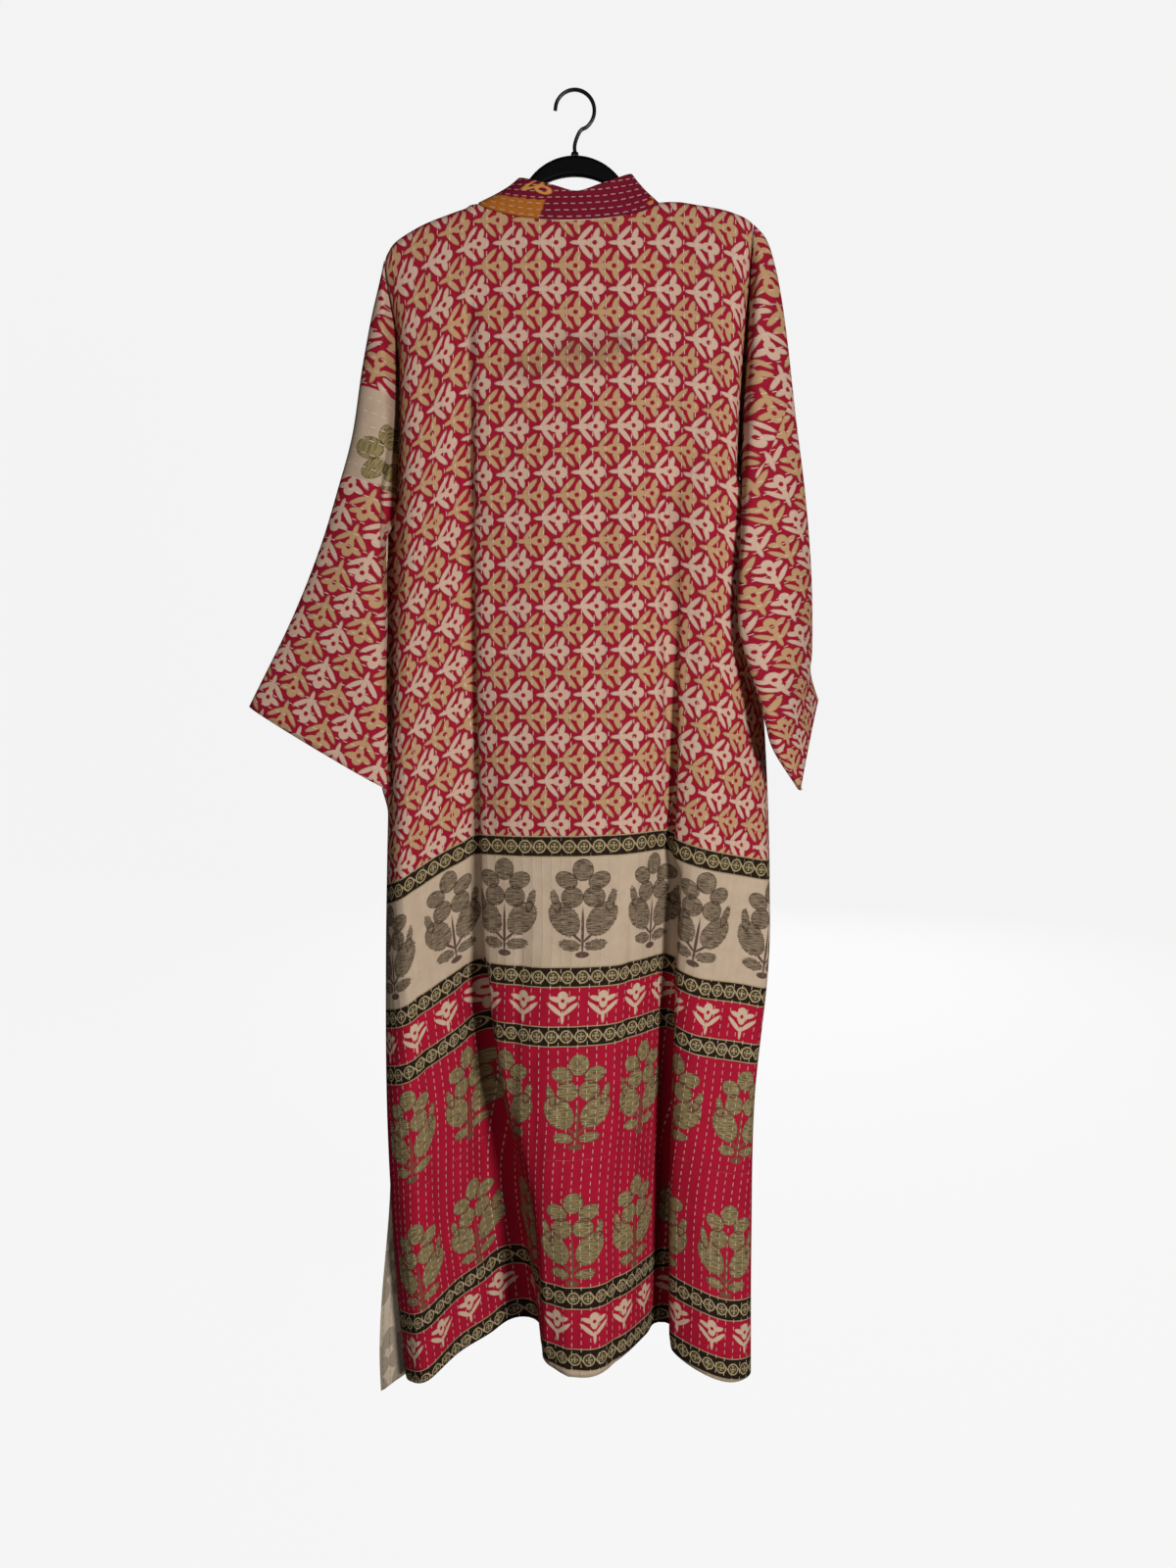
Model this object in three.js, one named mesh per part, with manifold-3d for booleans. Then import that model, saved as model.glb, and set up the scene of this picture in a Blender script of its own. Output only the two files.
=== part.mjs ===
// A long quilted cotton kimono robe on a plain black hanger, hanging as worn cloth hangs.
// Millimetres, +Z up. The origin is the inside of the hook's crest, where it sits on a rail.
// +Y is out of the garment's front and -Y is out of its back; the wearer's left is at -X.
import * as THREE from "three";
import { mergeVertices } from "three/addons/utils/BufferGeometryUtils.js";
import Module from "manifold-3d";

const wasm = await Module();
wasm.setup();

// Driving sizes of the garment.
const CLOTH = 2; // the quilted cloth's thickness
const BAND_CLOTH = 3; // the neckband, folded double
const SEAM_GAP = 0.4; // between two pieces at a seam
const NECK_Z = -107.5; // the neck point, where the shoulder seam meets the neckband
const BACK_LENGTH = 1254; // neck point to hem
const FRONT_LENGTH = 1275;
const NECK_WIDTH = 186;
const NECK_MIDDLE = -6.5; // the neckline's middle, a little to the wearer's left on the hanger
const NECK_DIP = 20; // how far the back neckline is cut below the neck points
const BAND_WIDTH = 45;
const ARMHOLE = 265; // armhole depth along the body's edge
const ARMHOLE_OPEN = 22; // its gap between back and front at the widest
const SLIT_TOP = 990; // where the side slits start, below the neck point
const SHOULDER_ROLL = 14; // the drop over which the cloth rolls over the hanger

// Driving sizes of the hanger.
const ARM_THICK = 11;
const ARM_DEEP = 21;
const ARCH_TOP = -61.5;
const ARCH_RADIUS = 59.3;
const ARCH_INNER_TOP = -82;
const ARCH_INNER_RADIUS = 70;
const WIRE = 2; // the hook's wire radius
const HOOK_RADIUS = 20; // of the hook's round, at the wire's middle
const BOSS_RADIUS = 4.2;
const BOSS_TALL = 3;

// How finely the pieces are divided.
const BACK_COLUMNS = 54;
const FRONT_COLUMNS = 18;
const SLEEVE_COLUMNS = 24;
const BODY_DROPS = [0, 1.2, 4, 8, 14, 32, 60, 95, 135, 180, 225, 265, 310, 370, 440, 520, 600, 680, 760, 840, 920,
  1000, 1070, 1140, 1200];

const clamp = (t) => Math.min(1, Math.max(0, t));
const ease = (a, b, x) => {
  const t = clamp((x - a) / (b - a));
  return t * t * (3 - 2 * t);
};
const mix = (a, b, t) => a + (b - a) * t;

// The back's sections, one row for each drop below the neck point.
// Columns from the wearer's left seam to the right one: x, and y, which is how far in from the hanger's plane.
const BACK_FOLDS = ["seamL", "edgeL", "ridgeL", "slopeL", "valleyL", "wallL", "creaseL", "crownL", "centre",
  "crownR", "slopeR", "valleyR", "wallR", "creaseR", "ridgeR", "pinchR", "edgeR", "seamR"];
const BACK_SECTIONS = [
  { drop: 0,
    x: [-197, -194, -184, -157, -128, -113, -101, -47, -2, 46, 78, 95, 104, 114, 150, 171, 181, 184],
    y: [0, 0, 0, 0, 0, 0, 0, 0, 0, 0, 0, 0, 0, 0, 0, 0, 0, 0] },
  { drop: 14,
    x: [-196, -193, -183, -156, -127, -112, -100, -47, -2, 46, 78, 95, 104, 114, 149, 170, 180, 183],
    y: [-4, -7, -10, -11, -11, -11, -11, -12, -12, -12, -11, -11, -11, -11, -11, -10, -7, -4] },
  { drop: 90,
    x: [-187, -184, -173, -146, -126, -112, -100, -47, -2, 46, 76, 95, 103, 113, 146, 166, 176, 181],
    y: [12, -2, -14, -17, -17, -17, -17, -20, -21, -20, -18, -17, -17, -17, -17, -13, -2, 12] },
  { drop: 260,
    x: [-194, -191, -175, -145, -125, -112, -102, -50, -1, 44, 78, 101, 110, 117, 144, 166, 174, 178],
    y: [26, 4, -18, -20, -15, -15, -19, -28, -31, -29, -26, -19, -19, -21, -22, -13, 4, 26] },
  { drop: 390,
    x: [-201, -198, -182, -150, -124, -113, -103, -52, 0, 42, 77, 102, 110, 116, 144, 171, 187, 195],
    y: [27, 4, -20, -19, -12, -13, -18, -31, -35, -33, -28, -18, -18, -22, -27, -13, 9, 30] },
  { drop: 520,
    x: [-206, -205, -187, -153, -123, -114, -105, -54, 1, 40, 76, 101, 107, 113, 142, 175, 200, 212],
    y: [28, 4, -22, -18, -8, -10, -18, -34, -40, -38, -32, -16, -16, -24, -30, -12, 14, 34] },
  { drop: 740,
    x: [-214, -212, -187, -150, -123, -113, -103, -56, 1, 40, 69, 96, 104, 108, 136, 184, 213, 219],
    y: [24, -4, -32, -12, 4, -2, -24, -46, -54, -50, -34, -4, -4, -30, -42, -20, -14, 18] },
  { drop: 930,
    x: [-217, -213, -183, -142, -104, -90, -81, -46, -4, 35, 64, 92, 105, 108, 135, 176, 199, 206],
    y: [18, -12, -38, -8, 16, 2, -38, -60, -66, -58, -34, 2, 6, -32, -46, -34, -20, 14] },
  { drop: 1090,
    x: [-214, -206, -177, -134, -88, -66, -46, -28, -11, 24, 60, 89, 109, 109, 139, 171, 198, 204],
    y: [8, -18, -44, -4, 22, 8, -50, -66, -74, -68, -38, 4, 10, -28, -48, -44, -26, 10] },
  { drop: 1267,
    x: [-202, -193, -169, -132, -80, -47, -37, -22, -9, 24, 58, 90, 110, 112, 143, 175, 201, 204],
    y: [0, -24, -42, -6, 26, 12, -50, -70, -80, -80, -46, 4, 8, -28, -50, -48, -30, 6] },
];
// How far each fold lies below the neck point where it leaves the hanger, and lower down in the skirt.
const BACK_SLOPE = {
  shoulder: [56, 49, 37, 21.5, 10.5, 5.5, 1, 0, 0, 0, 0, -1, -1, 0, 6, 12.5, 18, 21],
  skirt: [64, 60, 46, 24, 12, 5, 1, 0, 0, 0, 0, 3, 6, 10, 19, 32, 39, 42],
};
const SLOPE_SETTLES = 600; // the drop by which the skirt's own slope is reached
const CENTRE = BACK_FOLDS.indexOf("centre");

// How much longer or shorter the back is cut along its hem.
const BACK_HEM = {
  x: [-200, -165, -130, -80, -35, -5, 25, 60, 100, 140, 180, 204],
  longer: [-7, -5, 0, 2, 8, 12, 10, 4, 2, 7, 7, 2],
};

// The fronts' sections, for the wearer's left. Columns from the side to the front edge; the side seam's own
// column comes from the back. x is measured from the seam towards the middle.
const FRONT_SECTIONS = [
  { drop: 0, x: [8, 20, 40, 60, 76, 88, 98], y: [0, 0, 0, 0, 0, 0, 0], band: [38, 3] },
  { drop: 14, x: [9, 21, 41, 61, 77, 89, 100], y: [8, 10, 11, 11, 11, 11, 12], band: [39, 3] },
  { drop: 90, x: [5, 20, 44, 66, 84, 98, 110], y: [37, 32, 25, 22, 21, 21, 22], band: [40, 4] },
  { drop: 260, x: [3, 18, 46, 72, 96, 114, 128], y: [46, 50, 43, 35, 36, 40, 38], band: [42, 5] },
  { drop: 520, x: [4, 22, 54, 82, 106, 128, 148], y: [44, 60, 56, 46, 52, 60, 56], band: [44, 4] },
  { drop: 740, x: [2, 22, 58, 84, 108, 134, 160], y: [42, 72, 70, 54, 60, 78, 70], band: [42, -2] },
  { drop: 930, x: [0, 20, 58, 86, 108, 134, 158], y: [40, 82, 82, 60, 66, 92, 82], band: [41, -8] },
  { drop: 1090, x: [-2, 18, 58, 86, 108, 132, 154], y: [38, 88, 94, 66, 70, 102, 92], band: [40, -10] },
  { drop: 1290, x: [-2, 16, 58, 86, 108, 130, 150], y: [44, 94, 104, 72, 76, 112, 102], band: [40, -12] },
];

// Cubic through unevenly spaced stations, with the slope at each taken from its neighbours.
function through(stations, values, at) {
  const last = stations.length - 1;
  const t = Math.min(stations[last], Math.max(stations[0], at));
  let i = 0;
  while (i < last - 1 && t > stations[i + 1]) i += 1;
  const slope = (k) => {
    const a = Math.max(0, k - 1);
    const b = Math.min(last, k + 1);
    return (values[b] - values[a]) / (stations[b] - stations[a]);
  };
  const h = stations[i + 1] - stations[i];
  const s = (t - stations[i]) / h;
  const s2 = s * s;
  const s3 = s2 * s;
  return (2 * s3 - 3 * s2 + 1) * values[i] + (s3 - 2 * s2 + s) * h * slope(i) +
    (3 * s2 - 2 * s3) * values[i + 1] + (s3 - s2) * h * slope(i + 1);
}

// The way that cloth rolls over the hanger: a quarter round from the shoulder seam down.
const roll = (drop) => Math.sqrt(1 - (1 - Math.min(drop, SHOULDER_ROLL) / SHOULDER_ROLL) ** 2);

// A smooth curve through points, as short straight steps.
const STEPS = 10;
function curveOf(points) {
  const dense = [];
  const index = points.map((_, k) => k);
  const columns = [0, 1, 2].map((k) => points.map((p) => p[k]));
  for (let k = 0; k <= (points.length - 1) * STEPS; k += 1) {
    dense.push(columns.map((values) => through(index, values, k / STEPS)));
  }
  return dense;
}

// The points at equal shares of a curve's length.
function shared(dense, count) {
  const lengths = [0];
  for (let k = 1; k < dense.length; k += 1) {
    const [a, b] = [dense[k - 1], dense[k]];
    lengths.push(lengths[k - 1] + Math.hypot(b[0] - a[0], b[1] - a[1], b[2] - a[2]));
  }
  const total = lengths[lengths.length - 1];
  const made = [];
  let k = 0;
  for (let n = 0; n <= count; n += 1) {
    const want = (total * n) / count;
    while (k < lengths.length - 2 && lengths[k + 1] < want) k += 1;
    const t = clamp((want - lengths[k]) / (lengths[k + 1] - lengths[k]));
    made.push(dense[k].map((v, i) => mix(v, dense[k + 1][i], t)));
  }
  return made;
}

// The back's section at a drop below the neck point: its points, from the left seam to the right one.
function backPoints(drop) {
  const drops = BACK_SECTIONS.map((row) => row.drop);
  return BACK_FOLDS.map((_, k) => {
    const x = through(drops, BACK_SECTIONS.map((row) => row.x[k]), drop);
    const deep = through(drops, BACK_SECTIONS.map((row) => row.y[k]), Math.max(drop, SHOULDER_ROLL));
    const y = deep * roll(drop) - SEAM_GAP / 2;
    const fall = mix(BACK_SLOPE.shoulder[k], BACK_SLOPE.skirt[k], clamp(drop / SLOPE_SETTLES));
    return [x, y, NECK_Z - drop - fall];
  });
}

// The side seam of the back: side is -1 at the wearer's left and 1 at the right.
function sideSeam(side, drop) {
  const points = backPoints(drop);
  return side < 0 ? points[0] : points[points.length - 1];
}

const BAND_STEEP = { "-1": 0, "1": 12 }; // how much steeper the band stands at the wearer's right neck point

// How far the shoulder's line lies below the neck point.
function shoulderFall(x) {
  return through(BACK_SECTIONS[0].x, BACK_SLOPE.shoulder, x);
}

// How far the front's edge stands from the back's at the side: the armhole, the seam, then the slit.
const SLIT_SPREAD = { "-1": [-20, 24], "1": [-4, 22] };
function sideGap(side, drop) {
  const opens = 8 * roll(drop) + (ARMHOLE_OPEN - 8) * ease(SHOULDER_ROLL, 90, drop);
  const hole = opens * (1 - ease(200, ARMHOLE + 8, drop));
  const slit = ease(SLIT_TOP, FRONT_LENGTH, drop);
  const [out, deep] = SLIT_SPREAD[side];
  return [out * slit, SEAM_GAP + 0.3 + hole + deep * slit];
}

// A front's section at a drop: points from the side seam to the band's free edge.
function frontPoints(side, drop) {
  const drops = FRONT_SECTIONS.map((row) => row.drop);
  const at = (pick) => through(drops, FRONT_SECTIONS.map(pick), drop);
  const deepAt = (pick) => through(drops, FRONT_SECTIONS.map(pick), Math.max(drop, SHOULDER_ROLL));
  const seam = sideSeam(side, drop);
  const [out, gap] = sideGap(side, drop);
  const points = [[seam[0] + out, seam[1] + gap, seam[2]]];
  const neck = NECK_MIDDLE + (side * NECK_WIDTH) / 2;
  const top = sideSeam(side, 0)[0];
  const last = FRONT_SECTIONS[0].x.length - 1;
  const wide = Math.abs(top - neck) / FRONT_SECTIONS[0].x[last];
  FRONT_SECTIONS[0].x.forEach((start, k) => {
    const x = seam[0] - side * wide * at((row) => row.x[k]) + out * (1 - ease(0, 40, start - 8));
    const y = deepAt((row) => row.y[k]) * roll(drop) + SEAM_GAP / 2;
    points.push([x, y, NECK_Z - drop - shoulderFall(top - side * wide * start)]);
  });
  const edge = points[points.length - 1];
  const rise = 22 * (1 - ease(0, 60, drop));
  const steep = BAND_STEEP[side] * (1 - ease(0, 120, drop));
  points.push([
    edge[0] - side * (at((row) => row.band[0]) - steep),
    edge[1] + at((row) => row.band[1]),
    edge[2] + rise,
  ]);
  return points;
}

// How far the back neckline lies below the neck point, across the neck.
function neckDip(x) {
  const t = (x - NECK_MIDDLE) / (NECK_WIDTH / 2);
  return Math.abs(t) >= 1 ? 0 : NECK_DIP * (1 - t * t) ** 0.6;
}

// The back as a grid of points, rows down the cloth and columns across it.
function backGrid(columns) {
  const half = columns / 2;
  const acrossAt = (drop) => {
    const points = backPoints(drop);
    const left = shared(curveOf(points.slice(0, CENTRE + 1)), half);
    const right = shared(curveOf(points.slice(CENTRE)), half);
    return [...left, ...right.slice(1)];
  };
  const top = acrossAt(0);
  const spread = acrossAt(BACK_LENGTH);
  const length = spread.map((p) => BACK_LENGTH + through(BACK_HEM.x, BACK_HEM.longer, p[0]));
  const starts = top.map((p) => neckDip(p[0]));
  const memo = new Map();
  const pointAt = (drop, column) => {
    const key = drop.toFixed(3);
    if (!memo.has(key)) memo.set(key, acrossAt(drop));
    return memo.get(key)[column];
  };
  const rows = [...BODY_DROPS, BACK_LENGTH];
  return rows.map((drop) =>
    top.map((_, column) => {
      const start = starts[column];
      const scaled = start + (drop * (length[column] - start)) / BACK_LENGTH;
      return pointAt(scaled, column);
    }));
}

// A front's grid without its band, and the band's own two edges.
function frontGrid(side, columns) {
  const rows = [...BODY_DROPS, BACK_LENGTH].map((drop) => (drop * FRONT_LENGTH) / BACK_LENGTH);
  const cut = SEAM_GAP * 2;
  return rows.map((drop) => {
    const points = frontPoints(side, drop);
    const dense = curveOf(points).slice(0, (points.length - 2) * STEPS + 1);
    const [a, b] = dense.slice(-2);
    const step = Math.hypot(b[0] - a[0], b[1] - a[1], b[2] - a[2]);
    dense[dense.length - 1] = b.map((v, i) => mix(v, a[i], cut / step));
    return shared(dense, columns);
  });
}

// Closes a grid of points into a wall: the grid is its outer face, and the inner one is moved in.
// facing is the sign that turns the grid's own normal outwards, and keep can hold inner points back at a seam.
function wall(grid, thick, facing, { round = false, keep = (p) => p } = {}) {
  const rows = grid.length;
  const columns = grid[0].length;
  const outer = grid.map((row) => row.map((p) => new THREE.Vector3(...p)));
  const inner = outer.map((row, r) =>
    row.map((p, c) => {
      const left = round ? (c + columns - 1) % columns : Math.max(0, c - 1);
      const right = round ? (c + 1) % columns : Math.min(columns - 1, c + 1);
      const across = row[right].clone().sub(row[left]);
      const down = outer[Math.min(rows - 1, r + 1)][c].clone().sub(outer[Math.max(0, r - 1)][c]);
      const normal = down.cross(across).normalize();
      return keep(p.clone().addScaledVector(normal, -thick * facing), r, c, p);
    }));
  const positions = [];
  const index = [];
  [outer, inner].forEach((face) => face.forEach((row) => row.forEach((p) => positions.push(p.x, p.y, p.z))));
  const at = (face, r, c) => (face * rows + r) * columns + (round ? c % columns : c);
  const quad = (a, b, c, d) => index.push(a, b, c, a, c, d);
  const lastColumn = round ? columns : columns - 1;
  for (let r = 0; r < rows - 1; r += 1) {
    for (let c = 0; c < lastColumn; c += 1) {
      quad(at(0, r, c), at(0, r + 1, c), at(0, r + 1, c + 1), at(0, r, c + 1));
      quad(at(1, r, c), at(1, r, c + 1), at(1, r + 1, c + 1), at(1, r + 1, c));
    }
  }
  for (let c = 0; c < lastColumn; c += 1) {
    quad(at(0, 0, c), at(0, 0, c + 1), at(1, 0, c + 1), at(1, 0, c));
    quad(at(0, rows - 1, c), at(1, rows - 1, c), at(1, rows - 1, c + 1), at(0, rows - 1, c + 1));
  }
  if (!round) {
    for (let r = 0; r < rows - 1; r += 1) {
      quad(at(0, r, 0), at(1, r, 0), at(1, r + 1, 0), at(0, r + 1, 0));
      quad(at(0, r, columns - 1), at(0, r + 1, columns - 1), at(1, r + 1, columns - 1), at(1, r, columns - 1));
    }
  }
  if (facing < 0) {
    for (let k = 0; k < index.length; k += 3) [index[k + 1], index[k + 2]] = [index[k + 2], index[k + 1]];
  }
  return new THREE.BufferGeometry()
    .setAttribute("position", new THREE.Float32BufferAttribute(positions, 3))
    .setIndex(index);
}

// The sleeves' loops, from near the armhole to the cuff: the end at the shoulder fold, the end at the underarm,
// and how far the sleeve's back and front faces stand off the line between them, as x and y.
const SLEEVE_LOOPS = {
  "-1": [
    { fold: [-204, 0, -187], under: [-199, 12, -458], back: [6, -20], front: [1, 24] },
    { fold: [-213, -1, -222], under: [-201, 4, -500], back: [5, -22], front: [0, 22] },
    { fold: [-224, -2, -275], under: [-203, -4, -545], back: [3, -22], front: [-2, 22] },
    { fold: [-235, -4, -340], under: [-204, -10, -584], back: [1, -22], front: [-3, 20] },
    { fold: [-250, -6, -392], under: [-204, -13, -612], back: [0, -22], front: [-3, 20] },
    { fold: [-272, -8, -458], under: [-204, -15, -645], back: [0, -20], front: [-2, 19] },
    { fold: [-305, -8, -534], under: [-204, -16, -676], back: [0, -17], front: [0, 17] },
    { fold: [-355, -5, -628], under: [-205, -18, -717], back: [0, -15], front: [0, 15] },
  ],
  "1": [
    { fold: [199, 2, -143], under: [181, 14, -428], back: [-9, -20], front: [3, 24] },
    { fold: [209, 4, -170], under: [177, -8, -452], back: [-7, -22], front: [3, 20] },
    { fold: [217, 6, -205], under: [174, -24, -478], back: [-2, -18], front: [1, 14] },
    { fold: [224, 8, -250], under: [172, -30, -505], back: [2, -16], front: [-1, 10] },
    { fold: [233, 12, -318], under: [173, -34, -542], back: [6, -16], front: [-3, 9] },
    { fold: [245, 22, -397], under: [184, -38, -583], back: [10, -16], front: [-5, 9] },
    { fold: [255, 38, -480], under: [197, -40, -619], back: [12, -14], front: [-8, 8] },
    { fold: [261, 54, -560], under: [206, -41, -647], back: [11, -10], front: [-11, 8] },
    { fold: [262, 60, -590], under: [216, -41, -675], back: [8, -8], front: [-13, 6] },
    { fold: [276, 64, -628], under: [242, -40, -715], back: [-2, -6], front: [-12, 5] },
  ],
};
const SLEEVE_ROWS = {
  "-1": [0, 0.25, 0.55, 1, 1.5, 2, 2.5, 3, 4, 5, 6, 7, 8],
  "1": [0, 0.25, 0.55, 1, 1.5, 2, 3, 4, 5, 6, 7, 8, 9, 10],
};
const SEAM_STAND = 1; // how far the sleeve's edge lies outside the body's edge at the armhole
const LOOP_HALF = 3.4; // the armhole loop's least half width, at the shoulder and the underarm

// The armhole's edge, where the sleeve is sewn on: turn 0 is the shoulder, then down the back and up the front.
function armhole(side, turn) {
  const drop = (ARMHOLE * (1 - Math.cos(turn))) / 2;
  const seam = sideSeam(side, drop);
  const [, gap] = sideGap(side, drop);
  const half = Math.max(gap / 2, LOOP_HALF * Math.min(1, Math.abs(Math.sin(turn)) * 4));
  const middle = seam[1] + gap / 2;
  const y = middle - Math.sign(Math.sin(turn)) * half;
  return [seam[0] + side * SEAM_STAND, y, seam[2]];
}

function sleeveGrid(side, columns) {
  const turns = Array.from({ length: columns }, (_, c) => (2 * Math.PI * (c + 0.5)) / columns);
  const loops = [
    turns.map((turn) => armhole(side, turn)),
    ...SLEEVE_LOOPS[side].map(({ fold, under, back, front }) => turns.map((turn) => {
      const share = (1 + Math.cos(turn)) / 2;
      const stand = Math.abs(Math.sin(turn)) ** 0.8;
      const off = Math.sin(turn) > 0 ? back : front;
      return [0, 1, 2].map((axis) => mix(under[axis], fold[axis], share) + stand * (off[axis] ?? 0));
    })),
  ];
  const number = loops.map((_, k) => k);
  return SLEEVE_ROWS[side].map((t) =>
    turns.map((_, c) => [0, 1, 2].map((axis) => through(number, loops.map((loop) => loop[c][axis]), t))));
}

// The neckband's free edge across the neck, between the shoulders' peaks: it dips behind the hanger.
const NECKBAND = [
  { seam: -99.5, free: [-58.5, 1, -88] },
  { seam: -98, free: [-58.5, -2, -86.5] },
  { seam: -94.5, free: [-58, -5, -85.5] },
  { seam: -89, free: [-57, -8, -85] },
  { seam: -77, free: [-51, -13, -86.5] },
  { seam: -58, free: [-39, -17, -90] },
  { seam: -30, free: [-20, -19, -95] },
  { seam: 2, free: [2, -20, -100.5] },
  { seam: 32, free: [24, -19, -94] },
  { seam: 56, free: [41, -16.5, -88] },
  { seam: 70, free: [52, -11.5, -83] },
  { seam: 79, free: [58, -7, -81] },
  { seam: 84, free: [60, -3, -82] },
  { seam: 86.3, free: [61, 1, -84.5] },
];
const BAND_STARTS = 4; // the drop at which the fronts' share of the band takes over
const BAND_LIFT = 1; // the band's edge above the back's neckline
const BAND_COLUMNS = 3;

// A point of the back's outer face at x, at the neckline.
function necklineAt(x) {
  const drop = neckDip(x);
  const dense = curveOf(backPoints(drop));
  let best = 0;
  dense.forEach((p, k) => {
    if (Math.abs(p[0] - x) < Math.abs(dense[best][0] - x)) best = k;
  });
  return [x, dense[best][1], NECK_Z - drop];
}

// The band's rows, from the wearer's left hem up, round the neck and down to the right hem.
function bandGrid() {
  const edges = [];
  const frontDrops = [...BODY_DROPS, BACK_LENGTH].map((d) => (d * FRONT_LENGTH) / BACK_LENGTH)
    .filter((d) => d >= BAND_STARTS);
  const frontEdge = (side, drop) => {
    const points = frontPoints(side, drop);
    return [points[points.length - 2], points[points.length - 1]];
  };
  [...frontDrops].reverse().forEach((drop) => edges.push(frontEdge(-1, drop)));
  NECKBAND.forEach(({ seam, free }) => {
    const point = necklineAt(seam);
    edges.push([[point[0], point[1], point[2] + BAND_LIFT], free]);
  });
  frontDrops.forEach((drop) => edges.push(frontEdge(1, drop)));
  return edges.map(([seam, free]) => {
    const row = [];
    for (let c = 0; c <= BAND_COLUMNS; c += 1) {
      row.push(seam.map((v, i) => mix(v, free[i], c / BAND_COLUMNS)));
    }
    return row;
  });
}

// The hanger's outline seen from the back: a thick arch at the neck and two arms under the shoulders.
function hangerShape() {
  const under = CLOTH + SEAM_GAP + 0.6;
  const armTop = (x) => {
    const slope = (shoulderFall(x + 1) - shoulderFall(x - 1)) / 2;
    return NECK_Z - shoulderFall(x) - under * Math.hypot(1, slope);
  };
  const leftTops = [-181, -174, -165, -154, -140, -124, -110].map((x) => [x, armTop(x)]);
  const rightTops = [108, 120, 134, 146, 155, 162, 167].map((x) => [x, armTop(x)]);
  const archCentre = ARCH_TOP - ARCH_RADIUS;
  const innerCentre = ARCH_INNER_TOP - ARCH_INNER_RADIUS;
  const shape = new THREE.Shape();
  shape.moveTo(...leftTops[0]);
  [...leftTops.slice(1), [-96, -113], [-78, -107], [-60, -97.5]].forEach(([x, z]) => shape.lineTo(x, z));
  const from = Math.atan2(27, -ARCH_RADIUS * 0.83);
  const to = Math.atan2(27, ARCH_RADIUS * 0.83);
  shape.absarc(0, archCentre, ARCH_RADIUS, from, to, true);
  [[60, -97.5], [74, -107.5], [87, -113], [97, -112.6], ...rightTops].forEach(([x, z]) => shape.lineTo(x, z));
  const [tipRight] = rightTops.slice(-1);
  const [tipLeft] = leftTops;
  shape.lineTo(tipRight[0] + 1, tipRight[1] - 10);
  shape.lineTo(tipRight[0] - 7, tipRight[1] - 15);
  shape.lineTo(130, -113 - ARM_DEEP);
  shape.lineTo(60, -98 - ARM_DEEP);
  const innerFrom = Math.PI / 2 - 0.52;
  shape.absarc(0, innerCentre, ARCH_INNER_RADIUS, innerFrom, Math.PI - innerFrom, false);
  shape.lineTo(-60, -98 - ARM_DEEP);
  shape.lineTo(-130, -117 - ARM_DEEP);
  shape.lineTo(tipLeft[0] + 7, tipLeft[1] - 15);
  shape.lineTo(tipLeft[0] - 1, tipLeft[1] - 10);
  shape.closePath();
  return shape;
}

function hangerBody() {
  const bevel = 4;
  const solid = new THREE.ExtrudeGeometry(hangerShape(), {
    depth: ARM_THICK - 2 * bevel,
    bevelEnabled: true,
    bevelThickness: bevel,
    bevelSize: bevel,
    bevelOffset: -bevel,
    bevelSegments: 3,
    curveSegments: 20,
  });
  solid.translate(0, 0, bevel - ARM_THICK / 2);
  solid.rotateX(Math.PI / 2);
  return solid;
}

// A closed mesh as a manifold solid, and back.
function solidOf(geometry) {
  const plain = geometry.clone();
  plain.deleteAttribute("normal");
  plain.deleteAttribute("uv");
  const merged = mergeVertices(plain, 1e-4);
  return new wasm.Manifold(new wasm.Mesh({
    numProp: 3,
    vertProperties: new Float32Array(merged.attributes.position.array),
    triVerts: new Uint32Array(merged.index.array),
  }));
}

function geometryOf(solid) {
  const mesh = solid.getMesh();
  return new THREE.BufferGeometry()
    .setAttribute("position", new THREE.BufferAttribute(new Float32Array(mesh.vertProperties), 3))
    .setIndex(new THREE.BufferAttribute(new Uint32Array(mesh.triVerts), 1));
}

// The hook: a straight stem, then three quarters of a round, with a small boss where it enters the arch.
function hangerHook() {
  const centre = WIRE - HOOK_RADIUS;
  const stemFoot = ARCH_TOP + BOSS_TALL - 1;
  const points = [new THREE.Vector3(0, 0, stemFoot), new THREE.Vector3(0, 0, stemFoot + 9)];
  for (let degrees = -72; degrees <= 190; degrees += 18) {
    const a = THREE.MathUtils.degToRad(degrees);
    points.push(new THREE.Vector3(HOOK_RADIUS * Math.cos(a), 0, centre + HOOK_RADIUS * Math.sin(a)));
  }
  const section = new THREE.Shape();
  section.absarc(0, 0, WIRE, 0, 2 * Math.PI, false);
  const wire = new THREE.ExtrudeGeometry(section, {
    steps: 44,
    curveSegments: 5,
    bevelEnabled: false,
    extrudePath: new THREE.CatmullRomCurve3(points, false, "centripetal"),
  });
  const boss = new THREE.CylinderGeometry(BOSS_RADIUS - 0.8, BOSS_RADIUS, BOSS_TALL, 20);
  boss.rotateX(Math.PI / 2);
  boss.translate(0, 0, ARCH_TOP + 0.3 + BOSS_TALL / 2);
  return geometryOf(solidOf(wire).add(solidOf(boss)));
}

// Colours and finishes.
const PRINT_RED = 0x9c2136;
const BAND_RED = 0x861532;
const BLACK = 0x101012;
const cloth = (colour) => new THREE.MeshStandardMaterial({ color: colour, roughness: 0.9, metalness: 0 });
const hard = (roughness, metalness) => new THREE.MeshStandardMaterial({ color: BLACK, roughness, metalness });

const robe = new THREE.Group();
function place(name, geometry, material) {
  const mesh = new THREE.Mesh(geometry, material);
  mesh.name = name;
  robe.add(mesh);
}

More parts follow.
